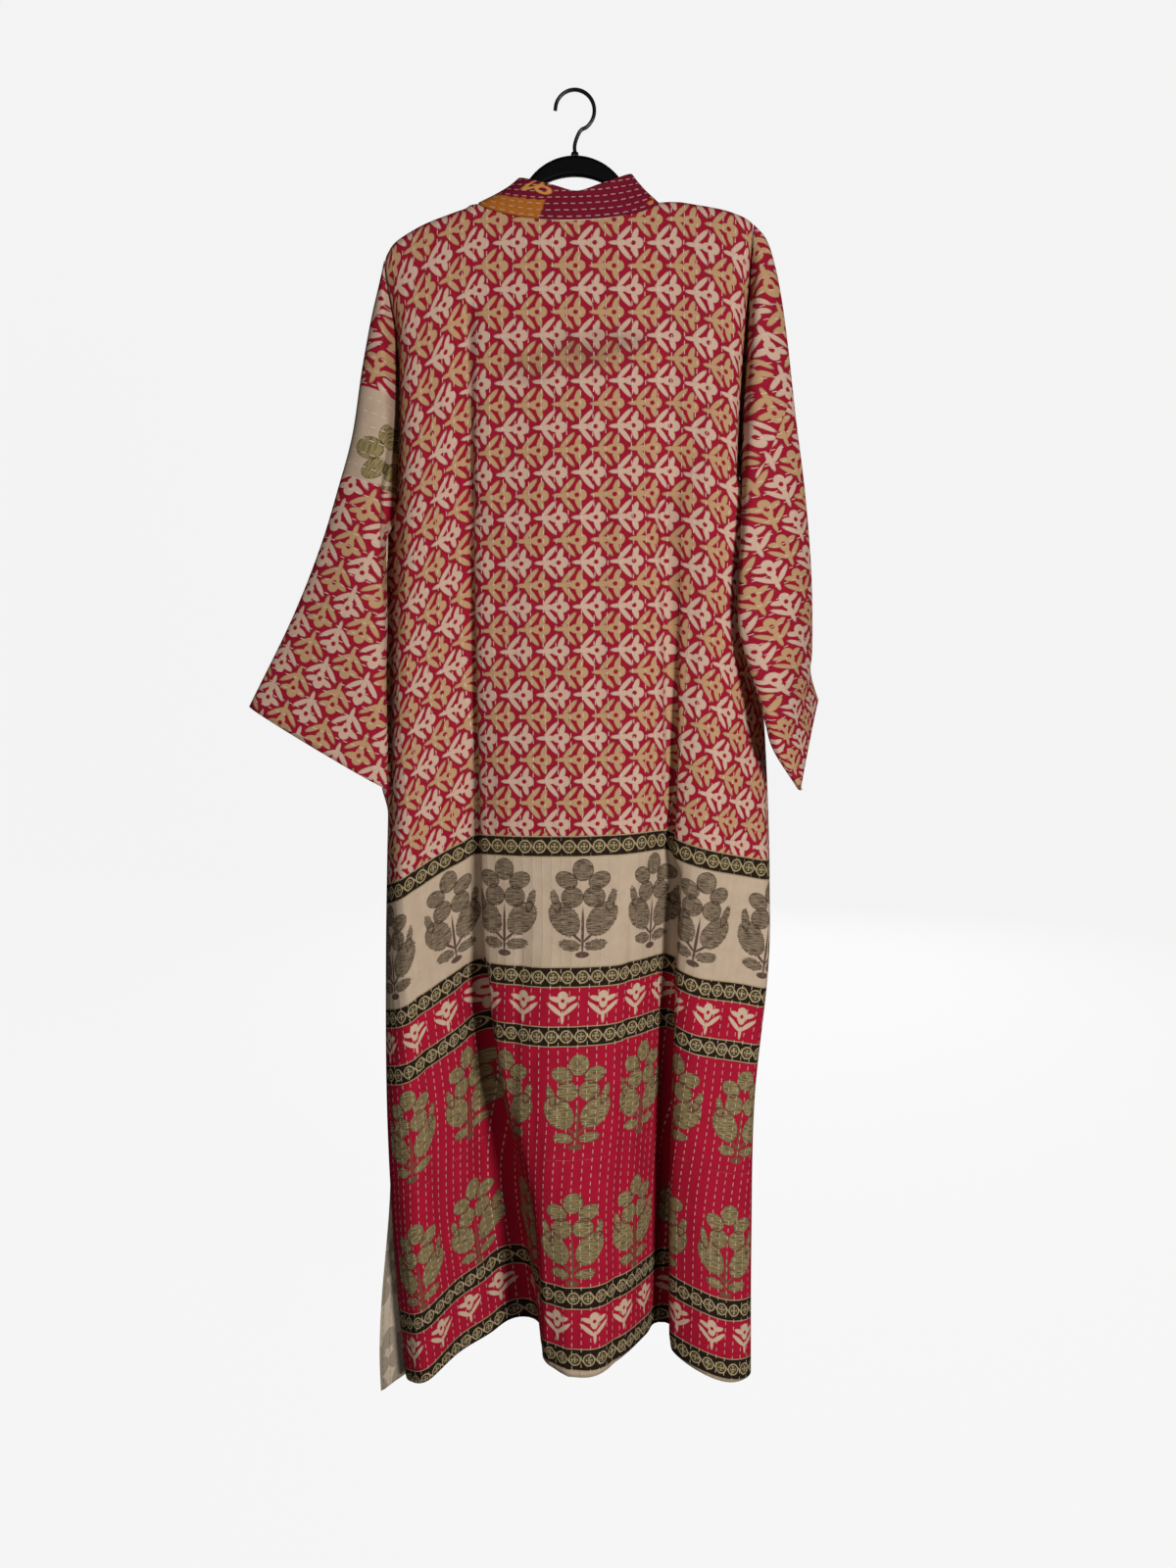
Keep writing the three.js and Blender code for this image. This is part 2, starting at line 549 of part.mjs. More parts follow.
// The back stays behind the shoulder seam and the side seams, and the fronts before them.
const keepBack = (columns) => (p, r, c, outer) => {
  if (r === 0) p.y = Math.min(p.y, -SEAM_GAP / 2);
  if (c === 0 || c === columns) p.y = Math.min(p.y, outer.y);
  return p;
};
const keepFront = (p, r, c, outer) => {
  if (r === 0) p.y = Math.max(p.y, SEAM_GAP / 2);
  if (c === 0) p.y = Math.max(p.y, outer.y);
  return p;
};
// A sleeve's first loop stays outside the body's edge.
const keepSleeve = (side) => (p, r, c, outer) => {
  if (r === 0) p.x = side * Math.max(side * p.x, side * outer.x);
  return p;
};

const frontPiece = (side) => wall(frontGrid(side, FRONT_COLUMNS), CLOTH, side, { keep: keepFront });
const sleevePiece = (side) =>
  wall(sleeveGrid(side, SLEEVE_COLUMNS), CLOTH, -side, { round: true, keep: keepSleeve(side) });

place("back", wall(backGrid(BACK_COLUMNS), CLOTH, 1, { keep: keepBack(BACK_COLUMNS) }), cloth(PRINT_RED));
place("front_left", frontPiece(-1), cloth(PRINT_RED));
place("front_right", frontPiece(1), cloth(PRINT_RED));
place("sleeve_left", sleevePiece(-1), cloth(PRINT_RED));
place("sleeve_right", sleevePiece(1), cloth(PRINT_RED));
place("neckband", wall(bandGrid(), BAND_CLOTH, 1), cloth(BAND_RED));
place("hanger", hangerBody(), hard(0.45, 0));
place("hanger_hook", hangerHook(), hard(0.35, 0.6));

export default robe;
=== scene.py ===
"""A long quilted cotton kimono robe on a black hanger, seen from its back, in a pale studio."""

import math

import bpy
import numpy as np
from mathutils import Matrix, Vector


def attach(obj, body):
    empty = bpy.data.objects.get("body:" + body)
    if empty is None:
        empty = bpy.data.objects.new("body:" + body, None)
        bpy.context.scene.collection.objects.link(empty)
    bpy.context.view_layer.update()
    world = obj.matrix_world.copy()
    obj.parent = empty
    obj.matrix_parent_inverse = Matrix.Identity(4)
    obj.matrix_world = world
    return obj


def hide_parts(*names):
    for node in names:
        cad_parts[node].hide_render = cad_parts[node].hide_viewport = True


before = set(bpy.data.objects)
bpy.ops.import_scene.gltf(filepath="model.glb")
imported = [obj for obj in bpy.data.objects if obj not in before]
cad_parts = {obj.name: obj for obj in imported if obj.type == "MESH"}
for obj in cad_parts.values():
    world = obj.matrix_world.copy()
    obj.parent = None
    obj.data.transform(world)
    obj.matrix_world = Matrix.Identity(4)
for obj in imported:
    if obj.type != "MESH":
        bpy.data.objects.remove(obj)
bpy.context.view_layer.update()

MM = 0.001

# ---------------------------------------------------------------- forms, in millimetres
CLOTH = 2
BAND_CLOTH = 3
SEAM_GAP = 0.4
NECK_Z = -107.5
BACK_LENGTH = 1254
FRONT_LENGTH = 1275
NECK_WIDTH = 186
NECK_MIDDLE = -6.5
NECK_DIP = 20
ARMHOLE = 265
ARMHOLE_OPEN = 22
SLIT_TOP = 990
SHOULDER_ROLL = 14

BACK_DROPS = [0, 14, 90, 260, 390, 520, 740, 930, 1090, 1267]
BACK_X = np.array([
    [-197, -194, -184, -157, -128, -113, -101, -47, -2, 46, 78, 95, 104, 114, 150, 171, 181, 184],
    [-196, -193, -183, -156, -127, -112, -100, -47, -2, 46, 78, 95, 104, 114, 149, 170, 180, 183],
    [-187, -184, -173, -146, -126, -112, -100, -47, -2, 46, 76, 95, 103, 113, 146, 166, 176, 181],
    [-194, -191, -175, -145, -125, -112, -102, -50, -1, 44, 78, 101, 110, 117, 144, 166, 174, 178],
    [-201, -198, -182, -150, -124, -113, -103, -52, 0, 42, 77, 102, 110, 116, 144, 171, 187, 195],
    [-206, -205, -187, -153, -123, -114, -105, -54, 1, 40, 76, 101, 107, 113, 142, 175, 200, 212],
    [-214, -212, -187, -150, -123, -113, -103, -56, 1, 40, 69, 96, 104, 108, 136, 184, 213, 219],
    [-217, -213, -183, -142, -104, -90, -81, -46, -4, 35, 64, 92, 105, 108, 135, 176, 199, 206],
    [-214, -206, -177, -134, -88, -66, -46, -28, -11, 24, 60, 89, 109, 109, 139, 171, 198, 204],
    [-202, -193, -169, -132, -80, -47, -37, -22, -9, 24, 58, 90, 110, 112, 143, 175, 201, 204],
], float)
BACK_Y = np.array([
    [0] * 18,
    [-4, -7, -10, -11, -11, -11, -11, -12, -12, -12, -11, -11, -11, -11, -11, -10, -7, -4],
    [12, -2, -14, -17, -17, -17, -17, -20, -21, -20, -18, -17, -17, -17, -17, -13, -2, 12],
    [26, 4, -18, -20, -15, -15, -19, -28, -31, -29, -26, -19, -19, -21, -22, -13, 4, 26],
    [27, 4, -20, -19, -12, -13, -18, -31, -35, -33, -28, -18, -18, -22, -27, -13, 9, 30],
    [28, 4, -22, -18, -8, -10, -18, -34, -40, -38, -32, -16, -16, -24, -30, -12, 14, 34],
    [24, -4, -32, -12, 4, -2, -24, -46, -54, -50, -34, -4, -4, -30, -42, -20, -14, 18],
    [18, -12, -38, -8, 16, 2, -38, -60, -66, -58, -34, 2, 6, -32, -46, -34, -20, 14],
    [8, -18, -44, -4, 22, 8, -50, -66, -74, -68, -38, 4, 10, -28, -48, -44, -26, 10],
    [0, -24, -42, -6, 26, 12, -50, -70, -80, -80, -46, 4, 8, -28, -50, -48, -30, 6],
], float)
SLOPE_SHOULDER = np.array([56, 49, 37, 21.5, 10.5, 5.5, 1, 0, 0, 0, 0, -1, -1, 0, 6, 12.5, 18, 21])
SLOPE_SKIRT = np.array([64, 60, 46, 24, 12, 5, 1, 0, 0, 0, 0, 3, 6, 10, 19, 32, 39, 42], float)
SLOPE_SETTLES = 600
CENTRE = 8
HEM_X = [-200, -165, -130, -80, -35, -5, 25, 60, 100, 140, 180, 204]
HEM_LONGER = [-7, -5, 0, 2, 8, 12, 10, 4, 2, 7, 7, 2]

FRONT_DROPS = [0, 14, 90, 260, 520, 740, 930, 1090, 1290]
FRONT_X = np.array([
    [8, 20, 40, 60, 76, 88, 98],
    [9, 21, 41, 61, 77, 89, 100],
    [5, 20, 44, 66, 84, 98, 110],
    [3, 18, 46, 72, 96, 114, 128],
    [4, 22, 54, 82, 106, 128, 148],
    [2, 22, 58, 84, 108, 134, 160],
    [0, 20, 58, 86, 108, 134, 158],
    [-2, 18, 58, 86, 108, 132, 154],
    [-2, 16, 58, 86, 108, 130, 150],
], float)
FRONT_Y = np.array([
    [0] * 7,
    [8, 10, 11, 11, 11, 11, 12],
    [37, 32, 25, 22, 21, 21, 22],
    [46, 50, 43, 35, 36, 40, 38],
    [44, 60, 56, 46, 52, 60, 56],
    [42, 72, 70, 54, 60, 78, 70],
    [40, 82, 82, 60, 66, 92, 82],
    [38, 88, 94, 66, 70, 102, 92],
    [44, 94, 104, 72, 76, 112, 102],
], float)
FRONT_BAND = np.array([[38, 3], [39, 3], [40, 4], [42, 5], [44, 4], [42, -2], [41, -8],
                       [40, -10], [40, -12]], float)
SLIT_SPREAD = {-1: (-31, 5), 1: (-4, 22)}  # how far a front's edge stands out, and back, at the hem
BAND_STEEP = {-1: 0, 1: 12}

SLEEVE_LOOPS = {
    -1: [
        ((-204, 0, -187), (-199, 12, -458), (6, -20), (1, 24)),
        ((-213, -1, -222), (-201, 4, -500), (5, -22), (0, 22)),
        ((-224, -2, -275), (-203, -4, -545), (3, -22), (-2, 22)),
        ((-235, -4, -340), (-204, -10, -584), (1, -22), (-3, 20)),
        ((-250, -6, -392), (-204, -13, -612), (0, -22), (-3, 20)),
        ((-272, -8, -458), (-204, -15, -645), (0, -20), (-2, 19)),
        ((-305, -8, -534), (-204, -16, -676), (0, -17), (0, 17)),
        ((-355, -5, -628), (-205, -18, -717), (0, -15), (0, 15)),
    ],
    1: [
        ((199, 2, -143), (181, 14, -428), (-9, -20), (3, 24)),
        ((209, 4, -170), (177, -8, -452), (-7, -22), (3, 20)),
        ((217, 6, -205), (174, -24, -478), (-2, -18), (1, 14)),
        ((224, 8, -250), (172, -30, -505), (2, -16), (-1, 10)),
        ((233, 12, -318), (173, -34, -542), (6, -16), (-3, 9)),
        ((245, 22, -397), (184, -38, -583), (10, -16), (-5, 9)),
        ((255, 38, -480), (197, -40, -619), (12, -14), (-8, 8)),
        ((261, 54, -560), (206, -41, -647), (11, -10), (-11, 8)),
        ((262, 60, -590), (216, -41, -675), (8, -8), (-13, 6)),
        ((276, 64, -628), (242, -40, -715), (-2, -6), (-12, 5)),
    ],
}
SEAM_STAND = 1
LOOP_HALF = 3.4
NECKBAND = [
    (-99.5, (-58.5, 1, -88)), (-98, (-58.5, -2, -86.5)), (-94.5, (-58, -5, -85.5)), (-89, (-57, -8, -85)),
    (-77, (-51, -13, -86.5)), (-58, (-39, -17, -90)), (-30, (-20, -19, -95)), (2, (2, -20, -100.5)),
    (32, (24, -19, -94)), (56, (41, -16.5, -88)), (70, (52, -11.5, -83)), (79, (58, -7, -81)),
    (84, (60, -3, -82)), (86.3, (61, 1, -84.5)),
]
BAND_STARTS = 4 * FRONT_LENGTH / BACK_LENGTH
BAND_LIFT = 0.3

# Where the body turns in beside the left sleeve, as z and x.
WALL = [(-235, -182.5), (-300, -182.6), (-396, -183.7), (-468, -187.3), (-521, -191.6), (-575, -194.5),
        (-630, -199.3), (-712, -203.3)]
# The same for the sleeve's side of the gap, and for the sleeve's seam.
BRINK = [(-209, -189), (-283, -191.4), (-318, -194), (-352, -197.4), (-386, -202.6), (-398, -204.7),
         (-468, -206.4), (-521, -204.2), (-575, -202.7), (-630, -201.4), (-712, -204.4)]
SLEEVE_SEAM = [(-200, -187.5), (-254, -188), (-427, -195)]
TUCK_X = -215  # how far the tucked cloth reaches behind the left sleeve
TUCK_RIGHT = 9
TURN_SOFT = 5  # the width of the bend where cloth turns in
SLEEVE_FLOOR = 26  # how deep the left sleeve's cloth lies beside the armhole
DROP_SHARE = 0.85
OPEN_FROM, OPEN_FULLY = 960, 1060  # down the left front, where its edge is laid out
OPEN_LEAN = 0.68


def clamp(t):
    return min(1.0, max(0.0, t))


def ease(a, b, x):
    t = np.clip((np.asarray(x, float) - a) / (b - a), 0, 1)
    return t * t * (3 - 2 * t)


def through(stations, values, at):
    """Cubic through unevenly spaced stations, with the slope at each taken from its neighbours."""
    st = np.asarray(stations, float)
    va = np.asarray(values, float)
    flat = va.ndim == 1
    if flat:
        va = va[:, None]
    t = np.clip(np.atleast_1d(np.asarray(at, float)), st[0], st[-1])
    last = len(st) - 1
    i = np.minimum(np.searchsorted(st[1:], t, side="left"), last - 1)
    k = np.arange(last + 1)
    a, b = np.maximum(0, k - 1), np.minimum(last, k + 1)
    slope = (va[b] - va[a]) / (st[b] - st[a])[:, None]
    h = (st[i + 1] - st[i])[:, None]
    s = (t - st[i])[:, None] / h
    s2, s3 = s * s, s * s * s
    out = ((2 * s3 - 3 * s2 + 1) * va[i] + (s3 - 2 * s2 + s) * h * slope[i]
           + (3 * s2 - 2 * s3) * va[i + 1] + (s3 - s2) * h * slope[i + 1])
    if flat:
        out = out[:, 0]
    return out[0] if np.ndim(at) == 0 else out


def roll(drop):
    return math.sqrt(1 - (1 - min(drop, SHOULDER_ROLL) / SHOULDER_ROLL) ** 2)


STEPS = 10


def curve_of(points):
    n = len(points)
    return through(np.arange(n), points, np.linspace(0, n - 1, (n - 1) * STEPS + 1))


def arc_of(dense):
    return np.concatenate([[0], np.cumsum(np.linalg.norm(np.diff(dense, axis=0), axis=1))])


def shared(dense, count):
    lengths = arc_of(dense)
    want = np.linspace(0, lengths[-1], count + 1)
    return np.stack([np.interp(want, lengths, dense[:, k]) for k in range(3)], axis=1), want


def back_points(drop):
    x = through(BACK_DROPS, BACK_X, drop)
    deep = through(BACK_DROPS, BACK_Y, max(drop, SHOULDER_ROLL))
    fall = SLOPE_SHOULDER + (SLOPE_SKIRT - SLOPE_SHOULDER) * clamp(drop / SLOPE_SETTLES)
    return np.stack([x, deep * roll(drop) - SEAM_GAP / 2, NECK_Z - drop - fall], axis=1)


def side_seam(side, drop):
    return back_points(drop)[0 if side < 0 else -1]


def shoulder_fall(x):
    return through(BACK_X[0], SLOPE_SHOULDER, x)


def side_gap(side, drop):
    opens = 8 * roll(drop) + (ARMHOLE_OPEN - 8) * float(ease(SHOULDER_ROLL, 90, drop))
    hole = opens * (1 - float(ease(200, ARMHOLE + 8, drop)))
    slit = float(ease(SLIT_TOP, FRONT_LENGTH, drop))
    out, deep = SLIT_SPREAD[side]
    return out * slit, SEAM_GAP + 0.3 + hole + deep * slit


def front_points(side, drop):
    seam = side_seam(side, drop)
    out, gap = side_gap(side, drop)
    points = [[seam[0] + out, seam[1] + gap, seam[2]]]
    neck = NECK_MIDDLE + side * NECK_WIDTH / 2
    top = side_seam(side, 0)[0]
    wide = abs(top - neck) / FRONT_X[0][-1]
    xs = through(FRONT_DROPS, FRONT_X, drop)
    ys = through(FRONT_DROPS, FRONT_Y, max(drop, SHOULDER_ROLL))
    for k, start in enumerate(FRONT_X[0]):
        x = seam[0] - side * wide * xs[k] + out * (1 - float(ease(0, 40, start - 8)))
        points.append([x, ys[k] * roll(drop) + SEAM_GAP / 2,
                       NECK_Z - drop - shoulder_fall(top - side * wide * start)])
    edge = points[-1]
    band = through(FRONT_DROPS, FRONT_BAND, drop)
    rise = 22 * (1 - float(ease(0, 60, drop)))
    steep = BAND_STEEP[side] * (1 - float(ease(0, 120, drop)))
    points.append([edge[0] - side * (band[0] - steep), edge[1] + band[1], edge[2] + rise])
    return np.array(points)


def neck_dip(x):
    t = (x - NECK_MIDDLE) / (NECK_WIDTH / 2)
    return 0.0 if abs(t) >= 1 else NECK_DIP * (1 - t * t) ** 0.6


def across_back(drop, half):
    points = back_points(drop)
    left, arc_l = shared(curve_of(points[:CENTRE + 1]), half)
    right, arc_r = shared(curve_of(points[CENTRE:]), half)
    return np.concatenate([left, right[1:]]), np.concatenate([arc_l - arc_l[-1], arc_r[1:]])


def back_grid(columns, rows):
    """Points and cloth coordinates. Rows between the two plain levels run at one drop each."""
    half = columns // 2
    top, _ = across_back(0, half)
    foot, _ = across_back(BACK_LENGTH, half)
    length = BACK_LENGTH + through(HEM_X, HEM_LONGER, foot[:, 0])
    starts = np.array([neck_dip(x) for x in top[:, 0]])
    fine = np.concatenate([np.linspace(0, 30, 40)[:-1], np.arange(30, 1300, 2.0)])
    table = [across_back(d, half) for d in fine]
    where = np.stack([p for p, _ in table])
    arcs = np.stack([a for _, a in table])
    upper, lower = 100.0, 1185.0
    tilt = 0.03 * np.clip(top[:, 0], -130, 110)
    grid, cloth = [], []
    for level in rows:
        if level <= upper:
            drops = starts + (upper - starts) * level / upper
        elif level <= lower:
            drops = np.full(columns + 1, float(level))
        else:
            drops = lower + (length - lower) * (level - lower) / (BACK_LENGTH - lower)
        kept = drops.copy()
        drops = drops - tilt * float(ease(100, 240, level) * (1 - ease(1080, lower, level)))
        k = np.clip(np.searchsorted(fine, drops) - 1, 0, len(fine) - 2)
        t = ((drops - fine[k]) / (fine[k + 1] - fine[k]))[:, None]
        col = np.arange(columns + 1)
        grid.append(where[k, col] * (1 - t) + where[k + 1, col] * t)
        u = arcs[k, col] * (1 - t[:, 0]) + arcs[k + 1, col] * t[:, 0]
        cloth.append(np.stack([u, kept], axis=1))
    return np.array(grid), np.array(cloth)


def at_height(table, z):
    """x at height z from a table of z and x."""
    return np.interp(-z, [-row[0] for row in table], [row[1] for row in table])


def turned_in(grid):
    """The back's left side turned straight in behind the left sleeve, as deep as its seam.

    Lower down it reaches out to TUCK_X, and the right side is tucked by TUCK_RIGHT.
    """
    out = grid.copy()
    z = grid[..., 2]
    wall = at_height(WALL, z)
    seam = grid[:, :1]
    window = ease(-205, -240, z) * ease(-715, -650, z)
    share = ease(0, TURN_SOFT, wall - grid[..., 0]) * window
    out[..., 1] += share * np.maximum(0, seam[..., 1] - grid[..., 1])
    reach = np.clip((wall - grid[..., 0]) / np.maximum(wall - seam[..., 0], 1), 0, 1)
    out[..., 0] += reach * tucked(z) * (TUCK_X - seam[..., 0])
    right = grid[:, -1:]
    near = 1 - ease(0, 25, right[..., 0] - grid[..., 0])
    out[..., 0] += near * tucked_right(right[..., 2]) * TUCK_RIGHT
    return out


def dropped_in(grid):
    """The left sleeve's cloth turned in beside the armhole, and drawn back to its edge lower down."""
    out = grid.copy()
    x, y, z = grid[..., 0], grid[..., 1], grid[..., 2]
    brink = at_height(BRINK, z)
    seam = at_height(SLEEVE_SEAM, z)
    low = ease(-430, -450, z)
    share = ease(0, TURN_SOFT, x - brink) * ease(-200, -235, z) * (1 - low)
    out[..., 1] += share * np.maximum(0, SLEEVE_FLOOR - y) * DROP_SHARE
    out[..., 0] -= (share * 9 * np.clip((seam - x) / 8, 0, 1)
                    + low * np.maximum(0, x - brink) * DROP_SHARE)
    return out


def opened_out(grid, cloth):
    """The left front's edge below the slit laid out flat, so that its reverse shows past the back."""
    arc = np.abs(cloth[..., 0] - cloth[:, :1, 0])
    share = ease(OPEN_FROM, OPEN_FULLY, cloth[..., 1]) * (1 - ease(85, 135, arc))
    out = grid.copy()
    depth = grid[:, :1, 1] + 0.04 * arc + 0.35 * np.maximum(0, arc - 36)
    out[..., 0] += share * (grid[:, :1, 0] + OPEN_LEAN * arc - grid[..., 0])
    out[..., 1] += share * (depth - grid[..., 1])
    return out


def tucked(z):
    """How far the left side is tucked at height z, from 0 to 1."""
    return ease(-395, -430, z) * ease(-750, -715, z)


def tucked_right(z):
    """The same for the right side."""
    return ease(-385, -410, z) * ease(-540, -500, z)


def front_grid(side, columns, rows):
    grid, cloth = [], []
    cut = SEAM_GAP * 2
    for level in rows:
        drop = level * FRONT_LENGTH / BACK_LENGTH
        points = front_points(side, drop)
        dense = curve_of(points)[:(len(points) - 2) * STEPS + 1]
        a, b = dense[-2].copy(), dense[-1].copy()
        dense[-1] = b + (a - b) * cut / np.linalg.norm(b - a)
        row, arc = shared(dense, columns)
        _, back_arc = across_back(min(drop, 1266), 40)
        reach = back_arc[0] if side < 0 else back_arc[-1]
        grid.append(row)
        cloth.append(np.stack([reach + side * arc, np.full(len(arc), drop)], axis=1))
    return np.array(grid), np.array(cloth)


def armhole(side, turn):
    drop = ARMHOLE * (1 - math.cos(turn)) / 2
    seam = side_seam(side, drop)
    _, gap = side_gap(side, drop)
    half = max(gap / 2, LOOP_HALF * min(1, abs(math.sin(turn)) * 4))
    middle = seam[1] + gap / 2
    return [seam[0] + side * SEAM_STAND, middle - np.sign(math.sin(turn)) * half, seam[2]]


def sleeve_grid(side, columns, per_loop):
    turns = [2 * math.pi * (c + 0.5) / columns for c in range(columns)]
    loops = [[armhole(side, turn) for turn in turns]]
    for fold, under, back, front in SLEEVE_LOOPS[side]:
        loop = []
        for turn in turns:
            share = (1 + math.cos(turn)) / 2
            stand = abs(math.sin(turn)) ** 0.8
            off = back if math.sin(turn) > 0 else front
            off = (off[0], off[1], 0)
            loop.append([under[k] + (fold[k] - under[k]) * share + stand * off[k] for k in range(3)])
        loops.append(loop)
    loops = np.array(loops, float)
    count = len(loops) - 1
    at = np.linspace(0, count, count * per_loop + 1)
    grid = through(np.arange(count + 1), loops.reshape(count + 1, -1), at).reshape(len(at), columns, 3)
    cloth = np.zeros((len(at), columns, 2))
    half = columns // 2
    for r, row in enumerate(grid):
        fold = (row[0] + row[-1]) / 2
        under = (row[half - 1] + row[half]) / 2
        flat = np.array([fold[0], fold[2]])
        way = np.array([under[0] - fold[0], under[2] - fold[2]])
        way /= np.linalg.norm(way)
        back = np.concatenate([[fold], row[:half]])
        s = arc_of(back)[1:]
        cloth[r, :half] = flat + s[:, None] * way
        front = np.concatenate([[fold], row[half:][::-1]])
        s = arc_of(front)[1:]
        mirrored = np.array([-way[0], way[1]])
        cloth[r, half:] = (flat + s[:, None] * way)[::-1]
    return grid, cloth


def neckline_at(x):
    drop = neck_dip(x)
    dense = curve_of(back_points(drop))
    y = np.interp(x, dense[:, 0], dense[:, 1])
    return [x, y, NECK_Z - drop]


def band_grid(columns, step):
    drops = np.concatenate([np.linspace(BAND_STARTS, 40, 14)[:-1],
                            np.linspace(40, FRONT_LENGTH, int((FRONT_LENGTH - 40) / step))])
    left = [front_points(-1, d)[-2:] for d in drops[::-1]]
    right = [front_points(1, d)[-2:] for d in drops]
    at = np.linspace(0, len(NECKBAND) - 1, (len(NECKBAND) - 1) * 5 + 1)
    seams = through(np.arange(len(NECKBAND)), [s for s, _ in NECKBAND], at)
    frees = through(np.arange(len(NECKBAND)), [f for _, f in NECKBAND], at)
    neck = []
    for seam, free in zip(seams, frees):
        p = neckline_at(seam)
        neck.append(np.array([[p[0], p[1], p[2] + BAND_LIFT], free]))
    edges = np.array(left + neck + right)
    share = np.linspace(0, 1, columns + 1)[None, :, None]
    grid = edges[:, :1] * (1 - share) + edges[:, 1:] * share
    along = arc_of(edges.mean(axis=1))
    middle = along[len(left) + len(neck) // 2]
    width = np.linalg.norm(edges[:, 1] - edges[:, 0], axis=1)
    cloth = np.stack([np.repeat((along - middle)[:, None], columns + 1, 1),
                      share[0, :, 0] * width[:, None]], axis=2)
    return grid, cloth


def normals(grid, wrap):
    if wrap:
        left, right = np.roll(grid, 1, axis=1), np.roll(grid, -1, axis=1)
    else:
        left = np.concatenate([grid[:, :1], grid[:, :-1]], axis=1)
        right = np.concatenate([grid[:, 1:], grid[:, -1:]], axis=1)
    up = np.concatenate([grid[:1], grid[:-1]])
    down = np.concatenate([grid[1:], grid[-1:]])
    n = np.cross(down - up, right - left)
    size = np.linalg.norm(n, axis=2, keepdims=True)
    return n / np.maximum(size, 1e-9)


def creased(grid, cloth, creases, facing, wrap, fade):
    """Soft troughs and ridges, each a height, a half width and its crest's path in cloth coordinates."""
    lift = np.zeros(grid.shape[:2])
    for high, half, path in creases:
        path = np.array(path, float)
        a, b = path[:-1], path[1:]
        best = np.full(grid.shape[:2], 1e9)
        for p, q in zip(a, b):
            d = q - p
            t = np.clip(((cloth - p) @ d) / (d @ d), 0, 1)
            best = np.minimum(best, np.linalg.norm(cloth - (p + t[..., None] * d), axis=2))
        lift += high * np.exp(-(best / half) ** 2)
    return grid + normals(grid, wrap) * (lift * fade * facing)[..., None]


# ---------------------------------------------------------------- meshes
def shell(name, grid, cloth, thick, facing, materials, outer_slot, wrap=False, keep=None):
    """A closed wall of cloth: the grid is its outer face. outer_slot gives each row's material."""
    rows, columns = grid.shape[:2]
    inner = grid - normals(grid, wrap) * thick * facing
    if keep:
        inner = keep(inner, grid)
    points = np.concatenate([grid.reshape(-1, 3), inner.reshape(-1, 3)]) * MM
    last = columns if wrap else columns - 1
    r, c = np.meshgrid(np.arange(rows - 1), np.arange(last), indexing="ij")
    r, c = r.ravel(), c.ravel()
    n = (c + 1) % columns
    base = rows * columns

    def quads(a, b, c4, d):
        return np.stack([a, b, c4, d], axis=1)
    outer_quads = quads(r * columns + c, (r + 1) * columns + c, (r + 1) * columns + n, r * columns + n)
    inner_quads = base + quads(r * columns + c, r * columns + n, (r + 1) * columns + n, (r + 1) * columns + c)
    faces = [outer_quads, inner_quads]
    slots = [np.array([outer_slot(k) for k in range(rows - 1)])[r], np.full(len(r), 1)]
    e = np.arange(last)
    f = (e + 1) % columns
    low = (rows - 1) * columns
    faces.append(quads(e, f, base + f, base + e))
    faces.append(quads(low + e, base + low + e, base + low + f, low + f))
    slots += [np.full(len(e), outer_slot(0)), np.full(len(e), outer_slot(rows - 2))]
    if not wrap:
        k = np.arange(rows - 1)
        right = columns - 1
        faces.append(quads(k * columns, base + k * columns, base + (k + 1) * columns, (k + 1) * columns))
        faces.append(quads(k * columns + right, (k + 1) * columns + right,
                           base + (k + 1) * columns + right, base + k * columns + right))
        side = np.array([outer_slot(row) for row in k])
        slots += [side, side]
    faces = np.concatenate(faces)
    if facing < 0:
        faces = faces[:, ::-1]
    slots = np.concatenate(slots)
    mesh = bpy.data.meshes.new(name)
    mesh.vertices.add(len(points))
    mesh.vertices.foreach_set("co", points.ravel())
    mesh.loops.add(faces.size)
    mesh.loops.foreach_set("vertex_index", faces.ravel().astype(np.int32))
    mesh.polygons.add(len(faces))
    mesh.polygons.foreach_set("loop_start", np.arange(0, faces.size, 4, dtype=np.int32))
    mesh.update(calc_edges=True)
    layer = mesh.uv_layers.new(name="cloth")
    flat = np.concatenate([cloth.reshape(-1, 2), cloth.reshape(-1, 2)])
    layer.data.foreach_set("uv", flat[faces.ravel()].astype(np.float32).ravel())
    for material in materials:
        mesh.materials.append(material)
    mesh.polygons.foreach_set("material_index", slots.astype(np.int32))
    mesh.polygons.foreach_set("use_smooth", np.ones(len(faces), bool))
    mesh.validate()
    mesh.update()
    obj = bpy.data.objects.new(name, mesh)
    bpy.context.scene.collection.objects.link(obj)
    return obj


